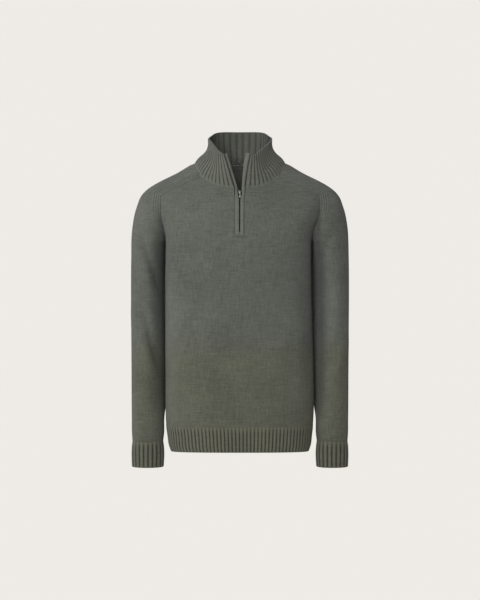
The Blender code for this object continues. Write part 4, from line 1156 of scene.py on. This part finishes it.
def zip_bar(finish):
    """The sewn bar under the zip: two rows of stitches with a groove between them, with painted
    shade in the groove and along the bar's edges.
    """
    columns = BAR_STITCHES * BAR_STEPS + 1
    x = np.linspace(BAR_RIGHT, BAR_LEFT, columns)
    z = np.linspace(BAR_TOP, BAR_BOTTOM, BAR_ROWS)[:, None]
    x, z = np.broadcast_arrays(x, z)
    points = np.stack([x, torso_y(FRONT, x, z), z], axis=-1)
    outward = normals(points)
    outward *= np.sign(-outward[1, 3, 1])
    wave = np.abs(np.sin(np.pi * np.arange(columns) / BAR_STEPS))[None, :]
    stitch = 1 - STITCH_DIP * (1 - wave)
    cords = np.abs(np.sin(2 * np.pi * np.linspace(0, 1, BAR_ROWS)))[:, None] ** CORD_ROUND
    height = BAR_THICK * (BAR_BASE + (1 - BAR_BASE) * stitch * cords)
    low = SEAM_GAP * outward
    cloth = np.stack([x, z], axis=-1)
    edge = np.full(x.shape, FAR_FROM_SEAM)
    # Painted shade in the groove between the cords and along the bar's edges
    painted_shading = 1 - cords * np.ones_like(stitch)
    grids = points + low + height[..., None] * outward, points + low
    piece = wall("zip_bar_stitched", *grids, cloth, edge, finish, groove_shades=(painted_shading, 0.0))
    dress(piece, "zip_bar")


def hanger_loop(plain, finish):
    """A cord loop inside the back of the collar, its ends sewn down."""
    middle = plain[0, plain.shape[1] // 2]
    depth = middle[1] - RIB_KNIT - LOOP_CLEAR - LOOP_CORD / 2
    turn = np.linspace(0, 2 * np.pi, LOOP_STEPS + 1)[:-1]
    x = np.sign(np.cos(turn)) * np.abs(np.cos(turn)) ** LOOP_SQUARE * (LOOP_WIDE - LOOP_CORD) / 2
    z = np.sign(np.sin(turn)) * np.abs(np.sin(turn)) ** LOOP_SQUARE * (LOOP_TALL - LOOP_CORD) / 2
    path = np.stack([LOOP_MIDDLE + x, np.full_like(x, depth), LOOP_HEIGHT + z], axis=-1)
    run = unit(np.roll(path, -1, axis=0) - np.roll(path, 1, axis=0))
    level = np.array([0.0, 1.0, 0.0])
    sideways = unit(np.cross(run, level))
    round_turn = (np.arange(LOOP_SIDES + 1) * 2 * np.pi / LOOP_SIDES)[None, :, None]
    spoke = np.cos(round_turn) * sideways[:, None] + np.sin(round_turn) * level
    rings = path[:, None] + LOOP_CORD / 2 * spoke
    rings = np.concatenate([rings, rings[:1]])
    cloth = np.stack([run_along(rings, 1), run_along(rings, 0)], axis=-1)
    mesh, _ = grid_mesh(rings, cloth, np.full(rings.shape[:2], FAR_FROM_SEAM))
    bmesh.ops.remove_doubles(mesh, verts=mesh.verts, dist=MERGE)
    bmesh.ops.recalc_face_normals(mesh, faces=mesh.faces)
    dress(place_object("hanger_loop_cord", mesh, finish), "hanger_loop")


def softened(name, body, finish):
    """A finer copy of a small hard piece, its edges rounded."""
    mesh = bmesh.new()
    mesh.from_mesh(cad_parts[name].data)
    bmesh.ops.remove_doubles(mesh, verts=mesh.verts, dist=MERGE / 10)
    bmesh.ops.dissolve_limit(mesh, angle_limit=FLAT_ANGLE, verts=mesh.verts, edges=mesh.edges)
    bent = [edge for edge in mesh.edges if edge.is_manifold and edge.calc_face_angle() > EDGE_ANGLE]
    bevelled(mesh, bent, METAL_ROUND, 2)
    bmesh.ops.recalc_face_normals(mesh, faces=mesh.faces)
    dress(place_object(name + "_rounded", mesh, finish), name, body)


def lay_flat():
    """Looks up every piece of cloth in the table and the pieces sewn to it; its flat size, area and
    hold are not used.
    """
    for name, flat, area, held, rests_on, sewn in CLOTH:
        piece, sewn = bpy.data.objects[name], [bpy.data.objects[other] for other in sewn]


def feed(tree, socket, value):
    """Link an output to a socket, or set the socket to a plain value."""
    if isinstance(value, bpy.types.NodeSocket):
        tree.links.new(value, socket)
    else:
        socket.default_value = value


def maths(tree, operation, *values):
    node = tree.nodes.new("ShaderNodeMath")
    node.operation = operation
    for socket, value in zip(node.inputs, values):
        feed(tree, socket, value)
    return node.outputs["Value"]


def eased(tree, value, start, end, low=0.0, high=1.0):
    """A value's soft rise from low to high as it goes from start to end."""
    node = tree.nodes.new("ShaderNodeMapRange")
    node.interpolation_type = "SMOOTHSTEP"
    ends = {"From Min": start, "From Max": end, "To Min": low, "To Max": high}
    for label, number in ends.items():
        node.inputs[label].default_value = number
    feed(tree, node.inputs["Value"], value)
    return node.outputs["Result"]


def noise(tree, place, scale, detail=2.0, stretch=(1, 1, 1)):
    stretched = tree.nodes.new("ShaderNodeMapping")
    stretched.inputs["Scale"].default_value = stretch
    feed(tree, stretched.inputs["Vector"], place)
    node = tree.nodes.new("ShaderNodeTexNoise")
    node.inputs["Scale"].default_value = scale
    node.inputs["Detail"].default_value = detail
    feed(tree, node.inputs["Vector"], stretched.outputs["Vector"])
    return node.outputs["Fac"]


def tinted(tree, colour, by, share=1.0):
    """A colour multiplied by another colour or a value."""
    node = tree.nodes.new("ShaderNodeMix")
    node.data_type = "RGBA"
    node.blend_type = "MULTIPLY"
    factor, first, second = node.inputs[0], node.inputs[6], node.inputs[7]
    feed(tree, factor, share)
    feed(tree, first, colour)
    feed(tree, second, by)
    return node.outputs[2]


def node_group(name, given, put):
    """A shader node group with named sockets, its inner inputs and its outputs."""
    made = bpy.data.node_groups.new(name, "ShaderNodeTree")
    for label, kind in given:
        made.interface.new_socket(name=label, in_out="INPUT", socket_type="NodeSocket" + kind)
    for label, kind in put:
        made.interface.new_socket(name=label, in_out="OUTPUT", socket_type="NodeSocket" + kind)
    return made, made.nodes.new("NodeGroupInput").outputs, made.nodes.new("NodeGroupOutput").inputs


def stitch_group():
    """Columns of V stitches on the flat cloth: how high the yarn stands, from 0 to 1."""
    given = ("Cloth", "Vector"), ("Wale", "Float"), ("Course", "Float")
    tree, inner, put = node_group("knit_stitches", given, (("Height", "Float"),))
    split = tree.nodes.new("ShaderNodeSeparateXYZ")
    feed(tree, split.inputs["Vector"], inner["Cloth"])
    across = maths(tree, "FRACT", maths(tree, "DIVIDE", split.outputs["X"], inner["Wale"]))
    leg = maths(tree, "ABSOLUTE", maths(tree, "SUBTRACT", across, 0.5))
    row = maths(tree, "DIVIDE", split.outputs["Y"], inner["Course"])
    slanted = maths(tree, "SUBTRACT", row, maths(tree, "MULTIPLY", leg, STITCH_SLANT))
    turn = maths(tree, "FRACT", slanted)
    legs = maths(tree, "SINE", maths(tree, "MULTIPLY", leg, 2 * np.pi))
    loops = maths(tree, "SINE", maths(tree, "MULTIPLY", turn, np.pi))
    wide, tall = maths(tree, "POWER", legs, YARN_WIDE), maths(tree, "POWER", loops, YARN_TALL)
    feed(tree, put["Height"], maths(tree, "MULTIPLY", wide, tall))
    return tree


def yarn_group():
    """The yarn's colour: flecks, streaks along rows and columns, clouds and a change of tone."""
    given = ("Place", "Vector"), ("Colour", "Color"), ("Mottle", "Float")
    tree, inner, put = node_group("yarn_colour", given, (("Colour", "Color"), ("Fleck", "Float")))
    place = inner["Place"]
    fleck = noise(tree, place, FLECKS)
    parts = fleck, noise(tree, place, STREAKS, 1.0, DOWN_COLUMNS)
    parts += noise(tree, place, STREAKS, 1.0, ALONG_ROWS), noise(tree, place, CLOUDS)
    total = maths(tree, "ADD", maths(tree, "ADD", *parts[:2]), maths(tree, "ADD", *parts[2:]))
    spread = maths(tree, "MULTIPLY", maths(tree, "SUBTRACT", total, 2.0), inner["Mottle"])
    mottled = tinted(tree, inner["Colour"], maths(tree, "ADD", spread, 1.0))
    split = tree.nodes.new("ShaderNodeSeparateXYZ")
    feed(tree, split.inputs["Vector"], place)
    below = eased(tree, split.outputs["Z"], TONE_CHANGE + TONE_SPREAD, TONE_CHANGE - TONE_SPREAD)
    feed(tree, put["Colour"], tinted(tree, mottled, (*TONE_BELOW, 1), below))
    feed(tree, put["Fleck"], fleck)
    return tree


def new_material(name, roughness, metallic=0.0):
    made = bpy.data.materials.new(name)
    made.use_nodes = True
    shader = made.node_tree.nodes["Principled BSDF"]
    shader.inputs["Roughness"].default_value = roughness
    shader.inputs["Metallic"].default_value = metallic
    return made, made.node_tree, shader


def inset_group(tree, group, **values):
    node = tree.nodes.new("ShaderNodeGroup")
    node.node_tree = group
    for label, value in values.items():
        feed(tree, node.inputs[label], value)
    return node.outputs


def attribute(tree, name):
    node = tree.nodes.new("ShaderNodeAttribute")
    node.attribute_name = name
    return node.outputs["Fac"]


def bumped(tree, shader, height, distance, strength=1.0):
    node = tree.nodes.new("ShaderNodeBump")
    node.inputs["Strength"].default_value = strength
    node.inputs["Distance"].default_value = distance
    feed(tree, node.inputs["Height"], height)
    feed(tree, shader.inputs["Normal"], node.outputs["Normal"])


def flat_place(tree):
    node = tree.nodes.new("ShaderNodeUVMap")
    node.uv_map = "cloth"
    return node.outputs["UV"]


def object_place(tree):
    return tree.nodes.new("ShaderNodeTexCoord").outputs["Object"]


def knitted(name, colour, groups, wale, course, mottle, groove_shade_depth):
    """A matte knit: stitches, mottled yarn, and painted shade along seams, between stitches and in
    the grooves between ribs.
    """
    made, tree, shader = new_material(name, KNIT_ROUGHNESS)
    shader.inputs["Specular IOR Level"].default_value = KNIT_SPECULAR
    shader.inputs["Sheen Weight"].default_value = SHEEN
    shader.inputs["Sheen Roughness"].default_value = SHEEN_ROUGHNESS
    cloth, place = flat_place(tree), object_place(tree)
    stitches, yarn = groups
    height = inset_group(tree, stitches, Cloth=cloth, Wale=wale, Course=course)["Height"]
    coloured = inset_group(tree, yarn, Place=place, Colour=(*colour, 1), Mottle=mottle)
    # Painted shade between stitches, where the yarn stands low
    shade = eased(tree, height, 0.0, STITCH_TOP, STITCH_SHADE, 1.0)
    # Painted shade along seams
    seam = eased(tree, attribute(tree, "seam"), 0.0, SEAM_REACH, SEAM_SHADE, 1.0)
    # Painted shade from the layer: darker in grooves and hollows, and lighter, a painted highlight,
    # where the layer is below zero
    groove_shade = maths(tree, "MULTIPLY", attribute(tree, "groove_shade"), groove_shade_depth)
    groove_shade = maths(tree, "MAXIMUM", maths(tree, "SUBTRACT", 1.0, groove_shade), GROOVE_SHADE_DARKEST)
    dark = maths(tree, "MULTIPLY", shade, maths(tree, "MULTIPLY", seam, groove_shade))
    feed(tree, shader.inputs["Base Color"], tinted(tree, coloured["Colour"], dark))
    fuzz = maths(tree, "MULTIPLY", coloured["Fleck"], FUZZ)
    bumped(tree, shader, maths(tree, "ADD", height, fuzz), STITCH_RELIEF, STITCH_BUMP)
    return made


def woven_tape(groups):
    """A dense dark tape: fine crossing threads."""
    made, tree, shader = new_material("woven_tape", TAPE_ROUGHNESS)
    shader.inputs["Specular IOR Level"].default_value = TAPE_SPECULAR
    split = tree.nodes.new("ShaderNodeSeparateXYZ")
    feed(tree, split.inputs["Vector"], flat_place(tree))
    turns = [maths(tree, "MULTIPLY", split.outputs[axis], 2 * np.pi / THREAD) for axis in "XY"]
    crossing = maths(tree, "MULTIPLY", *(maths(tree, "SINE", turn) for turn in turns))
    given = {"Place": object_place(tree), "Colour": (*TAPE_GREY, 1), "Mottle": TAPE_MOTTLE}
    coloured = inset_group(tree, groups[1], **given)
    light = eased(tree, crossing, -1.0, 1.0, THREAD_DARK, THREAD_LIGHT)
    feed(tree, shader.inputs["Base Color"], tinted(tree, coloured["Colour"], light))
    bumped(tree, shader, crossing, THREAD_RELIEF)
    return made


def plated(name, colour):
    """Plated metal: fine brushing, and paler where hands rub it."""
    made, tree, shader = new_material(name, METAL_ROUGHNESS, 1.0)
    place = object_place(tree)
    brushed = noise(tree, place, BRUSHING, BRUSHING_DETAIL, BRUSHED_ALONG)
    rubbed = eased(tree, noise(tree, place, RUBBING), 0.35, 0.75, UNRUBBED, RUBBED)
    feed(tree, shader.inputs["Base Color"], tinted(tree, (*colour, 1), rubbed))
    rough = eased(tree, brushed, 0.2, 0.8, METAL_SMOOTH, METAL_BRUSHED)
    feed(tree, shader.inputs["Roughness"], rough)
    bumped(tree, shader, brushed, BRUSHING_RELIEF)
    return made


def backdrop():
    """A pale round sweep: a floor that rises softly to a wall all round."""
    mesh = bmesh.new()
    floor, radius, curve, top = -1.6, 7.0, 2.0, 5.0
    start = mesh.verts.new((0, 0, floor))
    profile = [start, mesh.verts.new((radius - curve, 0, floor))]
    for turn in np.linspace(0, np.pi / 2, 13)[1:]:
        x, z = radius - curve + curve * np.sin(turn), floor + curve - curve * np.cos(turn)
        profile.append(mesh.verts.new((x, 0, z)))
    profile.append(mesh.verts.new((radius, 0, top)))
    edges = [mesh.edges.new(pair) for pair in zip(profile, profile[1:])]
    turned = profile + edges
    bmesh.ops.spin(mesh, geom=turned, axis=(0, 0, 1), steps=72, angle=2 * np.pi, use_merge=True)
    bmesh.ops.remove_doubles(mesh, verts=mesh.verts, dist=0.001)
    bmesh.ops.recalc_face_normals(mesh, faces=mesh.faces)
    bmesh.ops.reverse_faces(mesh, faces=mesh.faces)
    paper = bpy.data.materials.new("pale_paper")
    paper.use_nodes = True
    nodes, links = paper.node_tree.nodes, paper.node_tree.links
    nodes.clear()
    output = nodes.new("ShaderNodeOutputMaterial")
    glow = nodes.new("ShaderNodeEmission")
    glow.inputs["Color"].default_value = PAPER_COLOUR
    seen = nodes.new("ShaderNodeLightPath").outputs["Is Camera Ray"]
    strength = nodes.new("ShaderNodeMapRange")
    strength.inputs["To Min"].default_value = PAPER_LIGHT
    links.new(seen, strength.inputs["Value"])
    links.new(strength.outputs["Result"], glow.inputs["Strength"])
    links.new(glow.outputs["Emission"], output.inputs["Surface"])
    place_object("backdrop", mesh, paper)


def camera():
    data = bpy.data.cameras.new("camera")
    made = bpy.data.objects.new("camera", data)
    bpy.context.scene.collection.objects.link(made)
    made.location = (0, -CAMERA_AWAY, CAMERA_HEIGHT)
    made.rotation_euler = Vector((0, 1, 0)).to_track_quat("-Z", "Y").to_euler()
    data.sensor_width = SENSOR
    data.lens = SENSOR * CAMERA_AWAY / PICTURE_TALL
    data.clip_end = 50
    bpy.context.scene.camera = made


def lights():
    for name, place, size, power, colour in LAMPS:
        data = bpy.data.lights.new(name, "AREA")
        data.size = size
        data.energy = power
        data.color = colour
        made = bpy.data.objects.new(name, data)
        bpy.context.scene.collection.objects.link(made)
        made.location = place
        aim = Vector(LAMP_AIM) - Vector(place)
        made.rotation_euler = aim.to_track_quat("-Z", "Y").to_euler()


def main():
    bpy.context.scene.view_settings.view_transform = "Standard"
    groups = stitch_group(), yarn_group()
    knit = knitted("plain_knit", GREY_GREEN, groups, WALE, COURSE, KNIT_MOTTLE, KNIT_GROOVE_SHADE)
    rib_wale = HEM_PITCH / RIB_WALES
    rib = knitted("rib_knit", RIB_GREEN, groups, rib_wale, COURSE, RIB_MOTTLE, RIB_GROOVE_SHADE)
    tape = woven_tape(groups)
    # The teeth's metal is the slider's plated metal, darker: partly dark metal, partly painted
    # shade of the slit
    metal, shaded_teeth_metal = plated("slider_metal", SLIDER_GREY), plated("tooth_metal", TOOTH_SHADED_GREY)
    camera()
    lights()
    backdrop()
    body_panels(knit)
    sleeves(knit)
    hem(rib)
    cuffs(rib)
    plain = collar_face()
    collar(plain, rib)
    welts(plain, rib)
    edges = tapes(plain, tape)
    zip_teeth(edges, shaded_teeth_metal)
    zip_bar(rib)
    hanger_loop(plain, rib)
    softened("slider", "body", metal)
    softened("pull_tab", "pull_tab", metal)
    lay_flat()


main()
